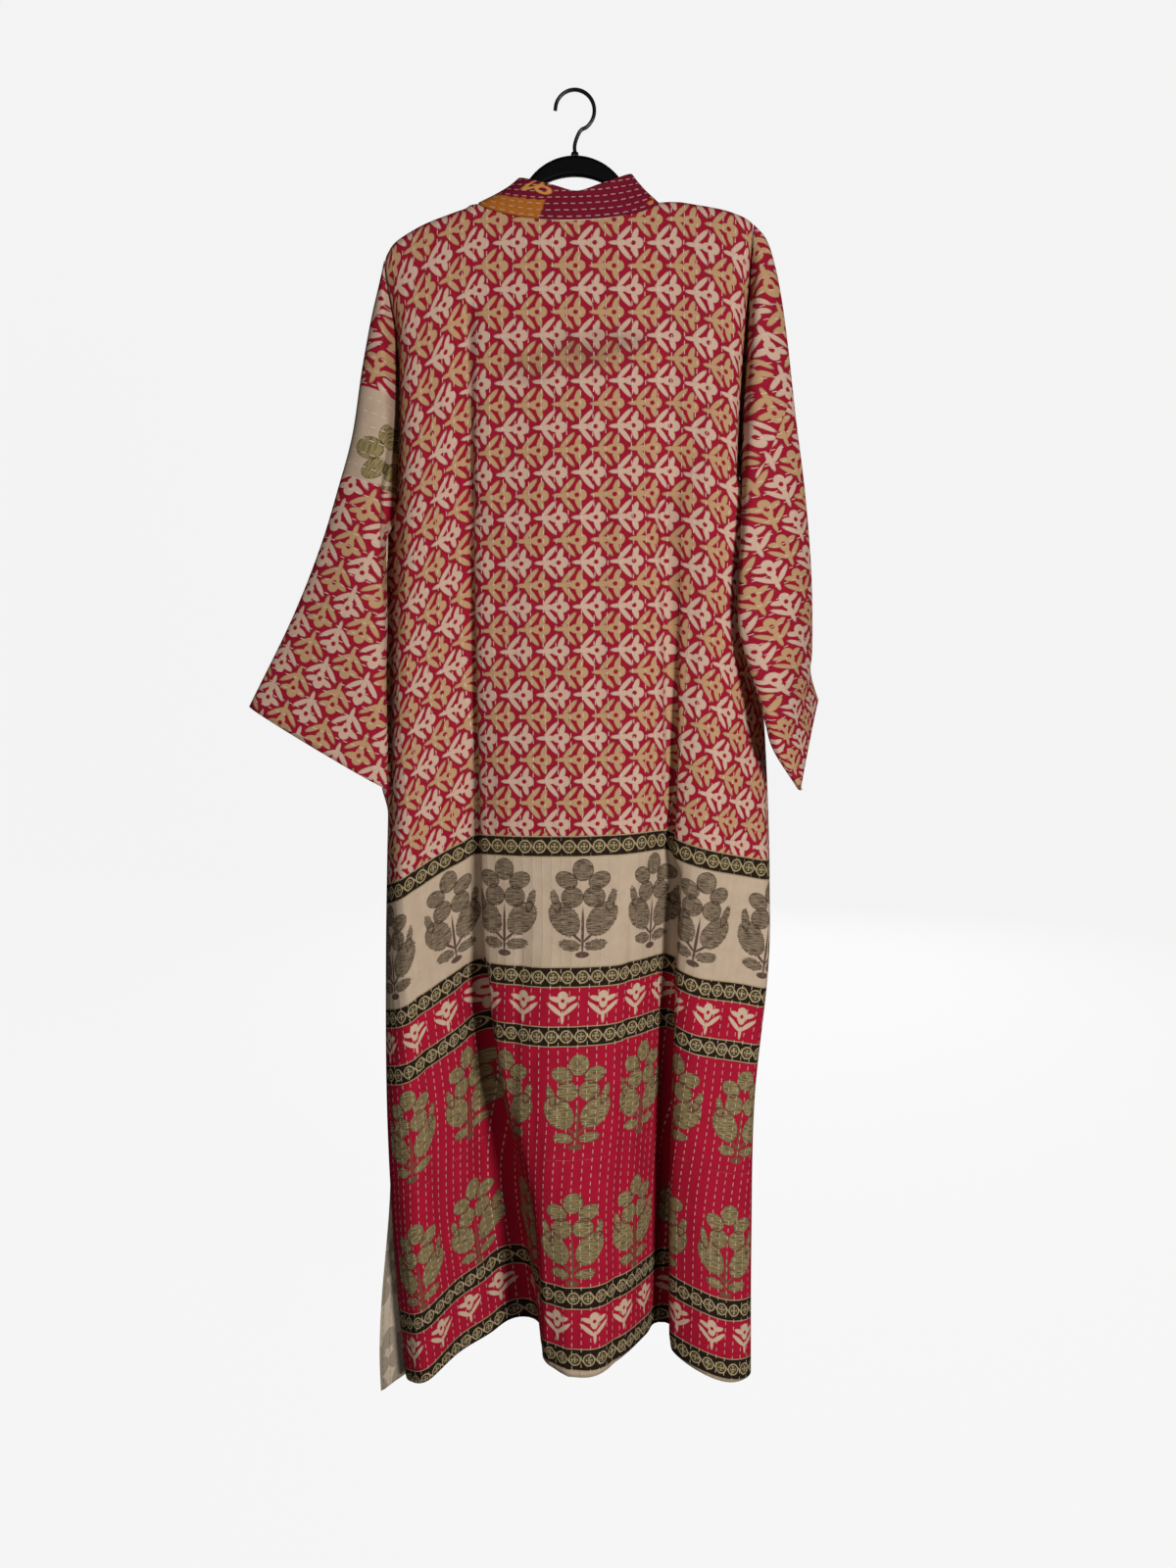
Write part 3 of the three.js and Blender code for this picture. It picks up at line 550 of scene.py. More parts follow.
# ---------------------------------------------------------------- materials
class Num:
    """A number in a material, so that the print's charts read as sums."""

    def __init__(self, tree, socket):
        self.tree = tree
        self.socket = socket

    def op(self, kind, *others, hold=False):
        node = self.tree.nodes.new("ShaderNodeMath")
        node.operation = kind
        node.use_clamp = hold
        for k, value in enumerate((self, *others)):
            if isinstance(value, Num):
                self.tree.links.new(value.socket, node.inputs[k])
            else:
                node.inputs[k].default_value = value
        return Num(self.tree, node.outputs[0])

    def __add__(self, other):
        return self.op("ADD", other)

    def __sub__(self, other):
        return self.op("SUBTRACT", other)

    def __mul__(self, other):
        return self.op("MULTIPLY", other)

    def __truediv__(self, other):
        return self.op("DIVIDE", other)

    def mod(self, size):
        return self.op("FLOORED_MODULO", size)

    def floor(self):
        return self.op("FLOOR")

    def abs(self):
        return self.op("ABSOLUTE")

    def least(self, other):
        return self.op("MINIMUM", other)

    def most(self, other):
        return self.op("MAXIMUM", other)

    def sin(self):
        return self.op("SINE")

    def inside(self, soft=0.45):
        """1 where this distance is below nought."""
        return self.op("MULTIPLY_ADD", -1 / soft, 0.5, hold=True)


class Cloth:
    """One material's tree, with the cloth coordinates u across and v down, in millimetres."""

    def __init__(self, name, rough=0.88):
        self.material = bpy.data.materials.new(name)
        self.material.use_nodes = True
        self.tree = self.material.node_tree
        self.bsdf = self.tree.nodes["Principled BSDF"]
        self.bsdf.inputs["Roughness"].default_value = rough
        self.bsdf.inputs["Specular IOR Level"].default_value = 0.12
        uv = self.tree.nodes.new("ShaderNodeUVMap")
        uv.uv_map = "cloth"
        self.uv = uv.outputs[0]
        split = self.tree.nodes.new("ShaderNodeSeparateXYZ")
        self.tree.links.new(self.uv, split.inputs[0])
        self.u = Num(self.tree, split.outputs[0])
        self.v = Num(self.tree, split.outputs[1])

    def point(self, x, y):
        node = self.tree.nodes.new("ShaderNodeCombineXYZ")
        for k, value in enumerate((x, y)):
            if isinstance(value, Num):
                self.tree.links.new(value.socket, node.inputs[k])
            else:
                node.inputs[k].default_value = value
        return node.outputs[0]

    def oval(self, point, x, y, long, wide, turn=0):
        """Distance to an oval's edge, below nought inside."""
        place = self.tree.nodes.new("ShaderNodeMapping")
        place.vector_type = "TEXTURE"
        place.inputs["Location"].default_value = (x, y, 0)
        place.inputs["Rotation"].default_value = (0, 0, math.radians(turn))
        place.inputs["Scale"].default_value = (long, wide, 1)
        self.tree.links.new(point, place.inputs["Vector"])
        size = self.tree.nodes.new("ShaderNodeVectorMath")
        size.operation = "LENGTH"
        self.tree.links.new(place.outputs[0], size.inputs[0])
        out = Num(self.tree, size.outputs["Value"])
        least = min(long, wide)
        return out.op("MULTIPLY_ADD", least, -least)

    def shape(self, point, ovals):
        out = None
        for oval in ovals:
            one = self.oval(point, *oval)
            out = one if out is None else out.least(one)
        return out

    def noise(self, scale, detail=2, stretch=(1, 1), rough=0.5):
        place = self.tree.nodes.new("ShaderNodeMapping")
        place.inputs["Scale"].default_value = (stretch[0], stretch[1], 1)
        self.tree.links.new(self.uv, place.inputs["Vector"])
        node = self.tree.nodes.new("ShaderNodeTexNoise")
        node.inputs["Scale"].default_value = scale
        node.inputs["Detail"].default_value = detail
        node.inputs["Roughness"].default_value = rough
        self.tree.links.new(place.outputs[0], node.inputs["Vector"])
        return Num(self.tree, node.outputs[0])

    def mix(self, share, below, above):
        node = self.tree.nodes.new("ShaderNodeMix")
        node.data_type = "RGBA"
        for socket, value in ((node.inputs[0], share), (node.inputs[6], below), (node.inputs[7], above)):
            if isinstance(value, Num):
                self.tree.links.new(value.socket, socket)
            elif isinstance(value, bpy.types.NodeSocket):
                self.tree.links.new(value, socket)
            elif isinstance(value, tuple):
                socket.default_value = (*value, 1)
            else:
                socket.default_value = value
        return node.outputs[2]

    def stitches(self, spacing, period, length, wide):
        """Running stitches in lines down the cloth: how much of one shows here."""
        wave = (self.v * 0.031).sin() * 0.9
        across = (self.u + wave) / spacing
        line = across.floor()
        off = ((across - line) - 0.5).abs() * spacing - wide / 2
        start = ((line * 7.31).sin() * 43.7).mod(1)
        along = (self.v / period + start).mod(1)
        beyond = ((along - 0.5).abs() - length / period / 2) * period
        return off.most(beyond).inside(0.5)

    def relief(self, stitch, spacing, deep=0.0007, pucker=0.3):
        """Puckers between the stitch lines and the cloth's grain, as a bump."""
        wave = (self.v * 0.031).sin() * 0.9
        hollow = ((self.u + wave) * (math.pi / spacing)).op("COSINE").abs()
        grain = self.noise(0.5, 3, (1, 0.6))
        broad = self.noise(0.07, 2, (1, 0.45))
        high = stitch * 0.45 + (hollow * -pucker) + grain * 0.35 + broad * 1.3
        bump = self.tree.nodes.new("ShaderNodeBump")
        bump.inputs["Distance"].default_value = deep
        bump.inputs["Strength"].default_value = 1.0
        self.tree.links.new(high.socket, bump.inputs["Height"])
        self.tree.links.new(bump.outputs[0], self.bsdf.inputs["Normal"])

    def colour(self, socket):
        self.tree.links.new(socket, self.bsdf.inputs["Base Color"])


def srgb(text):
    value = [int(text[k:k + 2], 16) / 255 for k in (0, 2, 4)]
    return tuple(v / 12.92 if v <= 0.04045 else ((v + 0.055) / 1.055) ** 2.4 for v in value)


CRIMSON = srgb("A3142F")
CRIMSON_DEEP = srgb("8C1029")
TAN = srgb("B69069")
PINK_CREAM = srgb("C7A691")
CREAM = srgb("C4A990")
PLANT_BROWN = srgb("5E463C")
INK = srgb("23170F")
CHAIN_CREAM = srgb("A3916A")
THREAD = srgb("DCCABD")
MAROON = srgb("7A112A")

# A flower sprig pointing along +x, its dot at the origin: x, y, half length, half width, turn.
SPRIG = [
    (-18.0, 0, 8.0, 2.5, 0),
    (-11.5, 0, 5.2, 3.4, 0),
    (-9.4, 8.7, 11.8, 2.9, 50),
    (-9.6, -9.1, 12.0, 2.9, -47),
    (4.6, 0, 6.0, 6.0, 0),
    (-2.0, 0, 7.2, 5.0, 0),
    (1.4, 7.2, 8.2, 3.3, 72),
    (1.6, -7.4, 8.3, 3.3, -72),
]
TULIP = [
    (-18.5, 0, 7.0, 1.8, 0),
    (-9.3, 8.1, 11.0, 2.5, 50),
    (-9.5, -8.3, 11.0, 2.5, -48),
    (4.8, 0, 5.6, 5.6, 0),
    (-2.0, 0, 7.0, 4.6, 0),
    (1.4, 7.0, 7.8, 2.8, 70),
    (1.5, -7.1, 7.8, 2.8, -70),
]
SPRIG_DOT = (0, 0, 2.2, 2.1, 0)
SPRIG_PITCH = 39.6
SPRIG_ROW = 23.1

# A flowering plant, its foot at the origin and +y up.
PLANT_PETALS = [
    (0, 95.5, 11.6, 12.2, 0),
    (-18, 84.5, 12.6, 9.2, -25),
    (18, 84, 12.6, 9.2, 22),
    (-11.6, 66, 12.2, 11.4, 0),
    (12.2, 66, 12.2, 11.4, 0),
]
PLANT_LEAVES = [
    (-20, 42, 21, 14.5, -52),
    (-30, 62, 12, 4.6, -74),
    (20.5, 42, 21, 14.5, 52),
    (31, 62, 12, 4.6, 74),
    (-14, 13.5, 11.5, 6.2, -8),
    (14.5, 13.5, 12.3, 6.0, 8),
]
PLANT_STEMS = [
    (0, 28, 1.6, 26, 0),
    (-6.5, 22, 9, 1.5, -42),
    (6.5, 22, 9, 1.5, 42),
    (0, 3, 7.5, 3.6, 0),
]
PLANT_PITCH = 87.7


def quilted(cloth, spacing, deep=0.0007):
    stitch = cloth.stitches(spacing, 9.0, 4.4, 0.75)
    cloth.relief(stitch, spacing, deep)
    return stitch


def field_print(name, shift, fold=None, smudges=()):
    """Crimson with rows of sprigs, tan and pinkish cream in turn. fold gives u where the print turns."""
    cloth = Cloth(name)
    u, v = cloth.u, cloth.v
    if fold:
        u = fold(u, v)
    ground = cloth.mix(cloth.noise(0.035, 2), CRIMSON, CRIMSON_DEEP)
    wear = cloth.noise(0.9, 3)
    colour = ground
    for row, paint in enumerate((TAN, PINK_CREAM)):
        x = (u + (shift[0] - row * SPRIG_PITCH / 2 + 27.5)).mod(SPRIG_PITCH) - 27.5
        y = (v + (shift[1] - row * SPRIG_ROW + SPRIG_ROW)).mod(2 * SPRIG_ROW) - SPRIG_ROW
        point = cloth.point(x, y)
        sprig = cloth.shape(point, SPRIG).most(cloth.oval(point, *SPRIG_DOT) * -1)
        rough = sprig + (wear - 0.5) * 0.9
        edge = (rough.abs() - 0.3).inside(0.9)
        colour = cloth.mix(edge * 0.6, colour, srgb("5E1018"))
        colour = cloth.mix((rough + 0.3).inside(0.8), colour, paint)
    for oval in smudges:
        spot = cloth.oval(cloth.uv, *oval) + (cloth.noise(0.06, 3) - 0.5) * 30
        colour = cloth.mix(spot.inside(26) * 0.42, colour, srgb("4A2B20"))
    if name.endswith("left"):
        colour = arm_band(cloth, colour)
    stitch = quilted(cloth, 13.5)
    cloth.colour(cloth.mix(stitch * 0.9, colour, THREAD))
    return cloth.material


ARM_BAND = (405.8, 45)  # the cream band round the left sleeve: its middle and half its width


def plant(cloth, x, y):
    """A flowering plant's distances: filled shapes, outlines and stems, and how darkly it is hatched."""
    point = cloth.point(x, y)
    torn = (cloth.noise(0.35, 2, (1, 2.2)) - 0.5) * 5
    body = line = None
    for oval in PLANT_PETALS + PLANT_LEAVES:
        one = cloth.oval(point, *oval)
        if oval in PLANT_LEAVES:
            one = one + torn
        body = one if body is None else body.least(one)
        line = one.abs() if line is None else line.least(one.abs())
    stems = cloth.shape(point, PLANT_STEMS)
    strokes = (cloth.noise(0.62, 2, (0.16, 1.5)) - 0.5).op("MULTIPLY_ADD", 5.5, 0.42, hold=True)
    return body, line - 0.55, stems, strokes


def arm_band(cloth, colour):
    """A cream band across the sleeve, with one plant that grows towards the fold."""
    middle, half = ARM_BAND
    u, v = cloth.u, cloth.v
    band = ((u - middle).abs() - half).inside(1.0)
    pale = cloth.mix(cloth.noise(0.06, 3), srgb("BDA68F"), srgb("AB937C"))
    x, y = u - (middle + 12), v + 37
    body, line, stems, strokes = plant(cloth, x, y)
    fill = cloth.mix(strokes * 0.8, srgb("96865A"), srgb("54422C"))
    fill = cloth.mix(line.inside(0.7) * 0.8, fill, srgb("3C2C20"))
    pale = cloth.mix(stems.inside(0.6), pale, PLANT_BROWN)
    return cloth.mix(band, colour, cloth.mix(body.inside(0.7), pale, fill))


def chain(cloth, colour, u, from_top, tall):
    """A border of rings on black between two cream lines. from_top is the distance below its upper edge."""
    middle = from_top - tall / 2
    band = (middle.abs() - tall / 2).inside()
    colour = cloth.mix(band, colour, INK)
    lines = ((middle.abs() - (tall / 2 - 0.6)).abs() - 0.55).inside()
    pitch = 16.1
    x = u.mod(pitch) - pitch / 2
    point = cloth.point(x, middle)
    ring = (cloth.oval(point, 0, 0, 6.2, 6.4).abs() - 0.75).inside()
    disc = cloth.oval(point, 0, 0, 4.0, 4.0).inside()
    dots = cloth.oval(cloth.point(x.abs(), middle.abs()), 1.9, 1.9, 1.1, 1.1).inside()
    link = (cloth.shape(point, [(8.05, 0, 9.0, 0.75, 52), (-8.05, 0, 9.0, 0.75, 52)])).inside()
    figure = ring.most(link.op("MULTIPLY", band)).most(lines)
    colour = cloth.mix(figure, colour, CHAIN_CREAM)
    colour = cloth.mix(disc * 0.8, colour, CHAIN_CREAM)
    return cloth.mix(dots * disc, colour, INK)


# The printed border's levels below the neck point, at the upper edge of each band.
CHAIN_TOPS = (655.6, 798, 863.6, 1160.5, 1232.3)
CHAIN_TALL = 23
FIELD_ENDS = CHAIN_TOPS[0]
PLANT_FEET = (788, 1002.5, 1159)


def border_print(name, tops=CHAIN_TOPS, shift=7.0):
    """Flowering plants on cream and on crimson, tulips on crimson, and chains of rings between them."""
    cloth = Cloth(name)
    u, v = cloth.u, cloth.v
    t1, t2, t3, t4, t5 = tops
    cream = ((v - (t1 + t2) / 2).abs() - (t2 - t1) / 2).inside()
    hem = (v * -1 + (t5 + CHAIN_TALL + 3)).inside()
    fade = cloth.noise(0.035, 2)
    red = cloth.mix(fade, srgb("AE1430"), srgb("940F29"))
    pale = cloth.mix(cloth.noise(0.06, 3), srgb("C4AE97"), srgb("B19A82"))
    colour = cloth.mix(cream.most(hem), red, pale)
    lower = (v * -1 + (PLANT_FEET[0] + 12)).inside()
    lowest = (v * -1 + (PLANT_FEET[1] + 12)).inside()
    step, last_step = PLANT_FEET[1] - PLANT_FEET[0], PLANT_FEET[2] - PLANT_FEET[1]
    y = (v * -1 + PLANT_FEET[0]) + lower * step + lowest * last_step
    x = (u + (PLANT_PITCH / 2 - shift)).mod(PLANT_PITCH) - PLANT_PITCH / 2
    body, line, stems, strokes = plant(cloth, x, y)
    on_cream = cloth.mix(strokes * 0.85, srgb("87765F"), srgb("3E2B24"))
    on_red = cloth.mix(strokes * 0.8, srgb("94835A"), srgb("44301F"))
    paint = cloth.mix(cream, on_red, on_cream)
    paint = cloth.mix(line.inside(0.7) * 0.9, paint, cloth.mix(cream, srgb("5A1B22"), srgb("38231F")))
    colour = cloth.mix(stems.inside(0.6), colour, cloth.mix(cream, srgb("6B4A35"), srgb("5A443C")))
    colour = cloth.mix(body.inside(0.7), colour, paint)
    for top in (t2 + CHAIN_TALL, t4 + CHAIN_TALL + 3):
        tx = (u + (22.2 - shift + 20)).mod(44.4) - 22.2
        ty = (v * -1) + (top + 14.5)
        point = cloth.point(ty, tx)
        tulip = cloth.shape(point, TULIP).most(cloth.oval(point, *SPRIG_DOT) * -1)
        reach = (ty + 8).abs() - 20
        colour = cloth.mix(tulip.most(reach).inside(0.7), colour, CREAM)
    for top in tops:
        colour = chain(cloth, colour, u, v - top, CHAIN_TALL if top < t4 else CHAIN_TALL + 3)
    stitch = quilted(cloth, 10.6)
    cloth.colour(cloth.mix(stitch * (cream * -0.5 + 0.72), colour, THREAD))
    return cloth.material


def reverse_print(name):
    """The cloth's other face: cream with grey-brown plants."""
    cloth = Cloth(name)
    u, v = cloth.u, cloth.v
    pale = cloth.mix(cloth.noise(0.05, 3), srgb("CBBBA6"), srgb("B7A48D"))
    x = u.mod(62) - 31
    y = v.mod(120) * -1 + 112
    point = cloth.point(x, y)
    body = cloth.shape(point, PLANT_PETALS + PLANT_LEAVES[:4]) + (cloth.noise(0.35, 2) - 0.5) * 3
    colour = cloth.mix(body.inside(0.9) * 0.7, pale, srgb("857868"))
    stitch = quilted(cloth, 12.0)
    cloth.colour(cloth.mix(stitch * 0.6, colour, srgb("8E2C38")))
    return cloth.material


def band_print(name):
    """The neckband: plain maroon with close rows of stitches, and remnants of print at the nape."""
    cloth = Cloth(name)
    u, v = cloth.u, cloth.v
    base = cloth.mix(cloth.noise(0.05, 3), MAROON, srgb("5E0C20"))
    point = cloth.point(u, v)
    frayed = (cloth.noise(0.22, 3) - 0.5) * 5
    patch = ((u + 66).abs() - 44).most((v - 9.5).abs() - 9.5) + frayed
    ochre = cloth.mix(cloth.noise(0.3, 2), srgb("B9731C"), srgb("98501F"))
    colour = cloth.mix(patch.inside(1.5) * 0.92, base, ochre)
    curls = (cloth.shape(point, [(-38, 36, 12, 3.4, 28), (-28, 29, 8, 3.0, -14)]).abs() - 1.0).inside(0.8)
    colour = cloth.mix(curls, colour, srgb("C98A3C"))
    flecks = cloth.shape(point, [(88, 10, 5, 1.5, 60), (95, 16, 5, 1.5, 60), (82, 5, 3.2, 1.6, 0),
                                 (100, 22, 5, 1.4, 60)])
    colour = cloth.mix(flecks.inside(0.8), colour, srgb("C4682E"))
    grey = cloth.oval(point, 117, 10, 10, 8, 30) + frayed
    colour = cloth.mix(grey.inside(2) * 0.8, colour, srgb("77686A"))
    line = ((v + (cloth.noise(0.03, 1) - 0.5) * 2) / 6.2)
    off = ((line - line.floor()) - 0.5).abs() * 6.2 - 0.45
    start = ((line.floor() * 7.31).sin() * 43.7).mod(1)
    along = (u / 8.6 + start).mod(1)
    beyond = ((along - 0.5).abs() - 0.27) * 8.6
    stitch = off.most(beyond).inside(0.5)
    high = stitch * 0.5 + ((line * math.pi).op("COSINE").abs() * 0.4) + cloth.noise(0.5, 3) * 0.4
    bump = cloth.tree.nodes.new("ShaderNodeBump")
    bump.inputs["Distance"].default_value = 0.0008
    cloth.tree.links.new(high.socket, bump.inputs["Height"])
    cloth.tree.links.new(bump.outputs[0], cloth.bsdf.inputs["Normal"])
    cloth.colour(cloth.mix(stitch * 0.75, colour, srgb("C9A79A")))
    return cloth.material


def hard_finish(name, colour, rough, metal, grain):
    material = bpy.data.materials.new(name)
    material.use_nodes = True
    tree = material.node_tree
    bsdf = tree.nodes["Principled BSDF"]
    bsdf.inputs["Specular IOR Level"].default_value = 0.06
    bsdf.inputs["Metallic"].default_value = metal
    where = tree.nodes.new("ShaderNodeTexCoord")
    noise = tree.nodes.new("ShaderNodeTexNoise")
    noise.inputs["Scale"].default_value = grain
    noise.inputs["Detail"].default_value = 4
    tree.links.new(where.outputs["Object"], noise.inputs["Vector"])
    worn = tree.nodes.new("ShaderNodeMapRange")
    worn.inputs["To Min"].default_value = rough - 0.08
    worn.inputs["To Max"].default_value = rough + 0.1
    tree.links.new(noise.outputs[0], worn.inputs["Value"])
    tree.links.new(worn.outputs[0], bsdf.inputs["Roughness"])
    tint = tree.nodes.new("ShaderNodeMix")
    tint.data_type = "RGBA"
    tint.inputs[6].default_value = (*colour, 1)
    tint.inputs[7].default_value = (*[c * 1.7 for c in colour], 1)
    tree.links.new(noise.outputs[0], tint.inputs[0])
    tree.links.new(tint.outputs[2], bsdf.inputs["Base Color"])
    bump = tree.nodes.new("ShaderNodeBump")
    bump.inputs["Distance"].default_value = 0.0002
    bump.inputs["Strength"].default_value = 0.4
    tree.links.new(noise.outputs[0], bump.inputs["Height"])
    tree.links.new(bump.outputs[0], bsdf.inputs["Normal"])
    return material


FIELD = field_print("print_field", (-2.6, -250.4),
                    smudges=((10, 152, 30, 15), (-44, 168, 12, 9), (56, 140, 12, 8)))
ARM_LEFT = field_print("print_sleeve_left", (-193.4, -36.9), fold=lambda u, v: (u - ARM_BAND[0]).abs())
ARM_RIGHT = field_print("print_sleeve_right", (203, -18.5),
                        fold=lambda u, v: (u - 423) * ((u - v * 1.1 - 473.5).inside(0.5) * 2 - 1))
BORDER = border_print("print_border")
REVERSE = reverse_print("print_reverse")
MAROON_BAND = band_print("band_maroon")

# ---------------------------------------------------------------- the garment
ROLL_LEVELS = [0, 1, 2.4, 4, 6, 8, 11, 14, 18, 22, 26, 30]
levels = sorted({*ROLL_LEVELS, *np.arange(34.5, FIELD_ENDS - 2, 4.9).round(2),
                 FIELD_ENDS, *np.linspace(FIELD_ENDS, BACK_LENGTH, 124).round(2)})
BACK_CREASES = [
    (-9, 10, [(-112, 110), (-120, 330), (-122, 620), (-126, 860)]),
    (-18, 24, [(-140, 820), (-148, 930), (-138, 1090), (-130, 1260)]),
    (-12, 15, [(134, 700), (146, 820), (152, 930), (160, 1090), (156, 1260)]),
    (2.0, 14, [(-90, 200), (-96, 420), (-80, 640)]),
    (-2.0, 10, [(30, 260), (22, 470), (34, 700)]),
    (-8, 8, [(96, 300), (108, 520), (124, 650)]),
    (1.6, 16, [(60, 330), (66, 560), (52, 820)]),
    (-3.0, 9, [(-60, 760), (-72, 960), (-60, 1130), (-64, 1254)]),
    (2.4, 13, [(-30, 800), (-22, 1000), (-34, 1240)]),
    (-2.2, 8, [(62, 760), (70, 980), (58, 1254)]),
    (2.2, 12, [(190, 640), (200, 900), (196, 1240)]),
    (-2.6, 9, [(-215, 620), (-226, 860), (-216, 1100)]),
    (-2.0, 11, [(-160, 160), (-135, 240), (-98, 330)]),
    (-1.8, 10, [(150, 140), (124, 250), (92, 350)]),
]


def slot_at(cloth_rows, base=0, border=2):
    """The material of each row: the field above the border, the border below."""
    mids = (cloth_rows[:-1] + cloth_rows[1:]) / 2
    return lambda r: border if mids[r] > FIELD_ENDS else base


def keep_back(inner, outer):
    """The back's inner face, kept on its own side at the shoulder and at both side seams."""
    inner[0, :, 1] = np.minimum(inner[0, :, 1], -SEAM_GAP / 2)
    for c in (0, -1):
        inner[:, c, 1] = np.minimum(inner[:, c, 1], outer[:, c, 1])
    return inner


def keep_front(inner, outer):
    """The same for a front."""
    inner[0, :, 1] = np.maximum(inner[0, :, 1], SEAM_GAP / 2)
    inner[:, 0, 1] = np.maximum(inner[:, 0, 1], outer[:, 0, 1])
    return inner


def keep_sleeve(side):
    """The same for a sleeve, at the armhole."""
    def keep(inner, outer):
        inner[0, :, 0] = side * np.maximum(side * inner[0, :, 0], side * outer[0, :, 0])
        return inner
    return keep


grid, cloth = back_grid(180, levels)
edge = np.minimum(np.abs(cloth[..., 0] - cloth[:, :1, 0]), np.abs(cloth[..., 0] - cloth[:, -1:, 0]))
fade = ease(0, 26, edge) * ease(24, 90, cloth[..., 1])
grid = turned_in(creased(grid, cloth, BACK_CREASES, 1, False, fade))
back = shell("robe_back", grid, cloth, CLOTH, 1, [FIELD, REVERSE, BORDER], slot_at(cloth[:, 0, 1]),
             keep=keep_back)

fronts = {}
for side, label in ((-1, "left"), (1, "right")):
    grid, cloth = front_grid(side, 44, levels)
    near = 1 - ease(0, 30, np.abs(cloth[..., 0] - cloth[:, :1, 0]))
    if side < 0:
        grid = opened_out(grid, cloth)
        grid[..., 0] += near * tucked(grid[:, :1, 2]) * (TUCK_X - grid[:, :1, 0])
    else:
        grid[..., 0] += near * tucked_right(grid[:, :1, 2]) * TUCK_RIGHT
    fronts[label] = shell("robe_front_" + label, grid, cloth, CLOTH, side, [FIELD, REVERSE, BORDER],
                          slot_at(cloth[:, 0, 1]), keep=keep_front)


def turned(cloth, heading):
    """Sleeve cloth coordinates turned so that the sprigs point along heading, given as x and z."""
    h = np.array(heading, float)
    h /= np.linalg.norm(h)
    return np.stack([cloth @ h, cloth @ np.array([-h[1], h[0]]) * -1], axis=-1)


HEADINGS = {-1: (-0.39, -0.92), 1: (0.36, -0.93)}
sleeves = {}
for side, label in ((-1, "left"), (1, "right")):
    grid, cloth = sleeve_grid(side, 128, 11)
    if side < 0:
        grid = dropped_in(grid)
    print_of = ARM_LEFT if side < 0 else ARM_RIGHT
    sleeves[label] = shell("robe_sleeve_" + label, grid, turned(cloth, HEADINGS[side]), CLOTH, -side,
                           [print_of, REVERSE], lambda r: 0, wrap=True, keep=keep_sleeve(side))

grid, cloth = band_grid(12, 5.0)
band = shell("robe_neckband", grid, cloth, BAND_CLOTH, 1, [MAROON_BAND, MAROON_BAND], lambda r: 0)

PIECES = (
    (back, "back", "print_cotton", (0.53, 1.27)),
    (fronts["left"], "front_left", "print_cotton", (0.19, 1.27)),
    (fronts["right"], "front_right", "print_cotton", (0.19, 1.27)),
    (sleeves["left"], "sleeve_left", "print_cotton", (0.50, 0.27)),
    (sleeves["right"], "sleeve_right", "print_cotton", (0.50, 0.30)),
    (band, "neckband", "band_cotton", (0.045, 2.74)),
)
for piece, node, slot, flat in PIECES:
    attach(piece, "root")
    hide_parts(node)

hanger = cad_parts["hanger"]
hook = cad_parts["hanger_hook"]
hanger.data.materials.clear()
hanger.data.materials.append(hard_finish("hanger_plastic", srgb("040405"), 0.55, 0.0, 260))
hook.data.materials.clear()
hook.data.materials.append(hard_finish("hook_steel", srgb("1A1A1D"), 0.34, 0.7, 420))

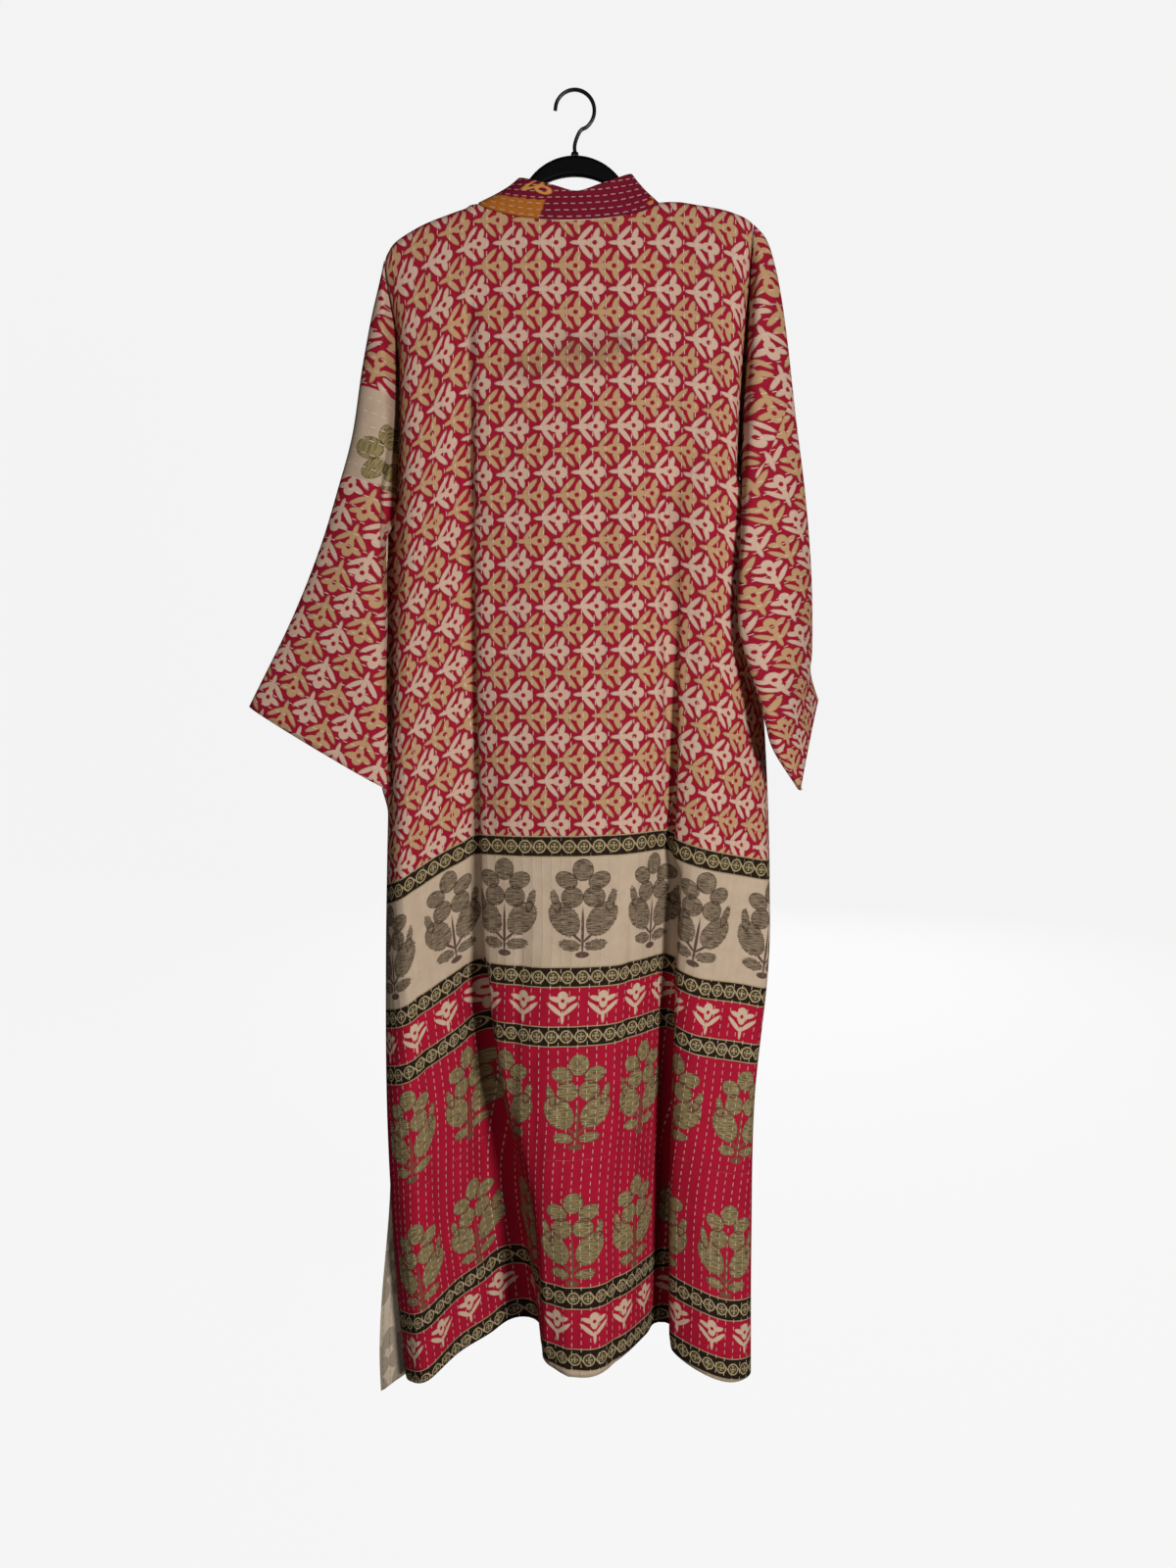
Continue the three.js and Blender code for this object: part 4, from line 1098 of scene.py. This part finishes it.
# ---------------------------------------------------------------- studio
def sweep():
    """A round pale floor that curves up into a wall all about, well behind every camera."""
    floor, reach, cove, turns = -1.62, 6.0, 1.2, 96
    profile = [(0.01, floor), (2.0, floor), (reach - cove, floor)]
    for k in range(1, 13):
        a = k / 12 * math.pi / 2
        profile.append((reach - cove + cove * math.sin(a), floor + cove * (1 - math.cos(a))))
    profile.append((reach, 5.0))
    points, faces = [], [tuple(range(turns))]
    for r, z in profile:
        points += [(r * math.cos(2 * math.pi * t / turns), r * math.sin(2 * math.pi * t / turns), z)
                   for t in range(turns)]
    for k in range(len(profile) - 1):
        for t in range(turns):
            faces.append((k * turns + t, (k + 1) * turns + t,
                          (k + 1) * turns + (t + 1) % turns, k * turns + (t + 1) % turns))
    mesh = bpy.data.meshes.new("sweep")
    mesh.from_pydata(points, [], faces)
    for p in mesh.polygons:
        p.use_smooth = True
    material = bpy.data.materials.new("pale_sweep")
    material.use_nodes = True
    bsdf = material.node_tree.nodes["Principled BSDF"]
    bsdf.inputs["Base Color"].default_value = (0.03, 0.03, 0.03, 1)
    bsdf.inputs["Roughness"].default_value = 0.95
    bsdf.inputs["Emission Color"].default_value = (1, 1, 1, 1)
    bsdf.inputs["Emission Strength"].default_value = 0.893
    mesh.materials.append(material)
    obj = bpy.data.objects.new("sweep", mesh)
    bpy.context.scene.collection.objects.link(obj)
    obj.visible_diffuse = obj.visible_glossy = False
    return obj


sweep()


def light(name, where, aim, size, power):
    lamp = bpy.data.lights.new(name, "AREA")
    lamp.shape = "RECTANGLE"
    lamp.size, lamp.size_y = size
    lamp.energy = power
    obj = bpy.data.objects.new(name, lamp)
    obj.location = where
    way = np.array(aim, float) - np.array(where, float)
    obj.rotation_euler = Vector(way).to_track_quat("-Z", "Y").to_euler()
    bpy.context.scene.collection.objects.link(obj)


light("key", (1.25, -2.5, -0.5), (0, 0, -0.75), (0.4, 0.4), 68)
light("fill", (-1.5, -2.4, -0.4), (0, 0, -0.75), (1.6, 1.6), 9)
light("behind", (0.6, 2.9, -0.3), (0, 0, -0.75), (1.8, 1.8), 42)

world = bpy.data.worlds.new("studio")
bpy.context.scene.world = world
world.use_nodes = True
world.node_tree.nodes["Background"].inputs[0].default_value = (1, 1, 1, 1)
world.node_tree.nodes["Background"].inputs[1].default_value = 0.04

camera = bpy.data.cameras.new("camera")
camera.sensor_width = 36
camera.lens = 31.23
view = bpy.data.objects.new("camera", camera)
view.location = (0.0135, -1.48, -0.480)
view.rotation_euler = (math.radians(90 - 9), 0, 0)
bpy.context.scene.collection.objects.link(view)
bpy.context.scene.camera = view
bpy.context.scene.view_settings.view_transform = "Standard"
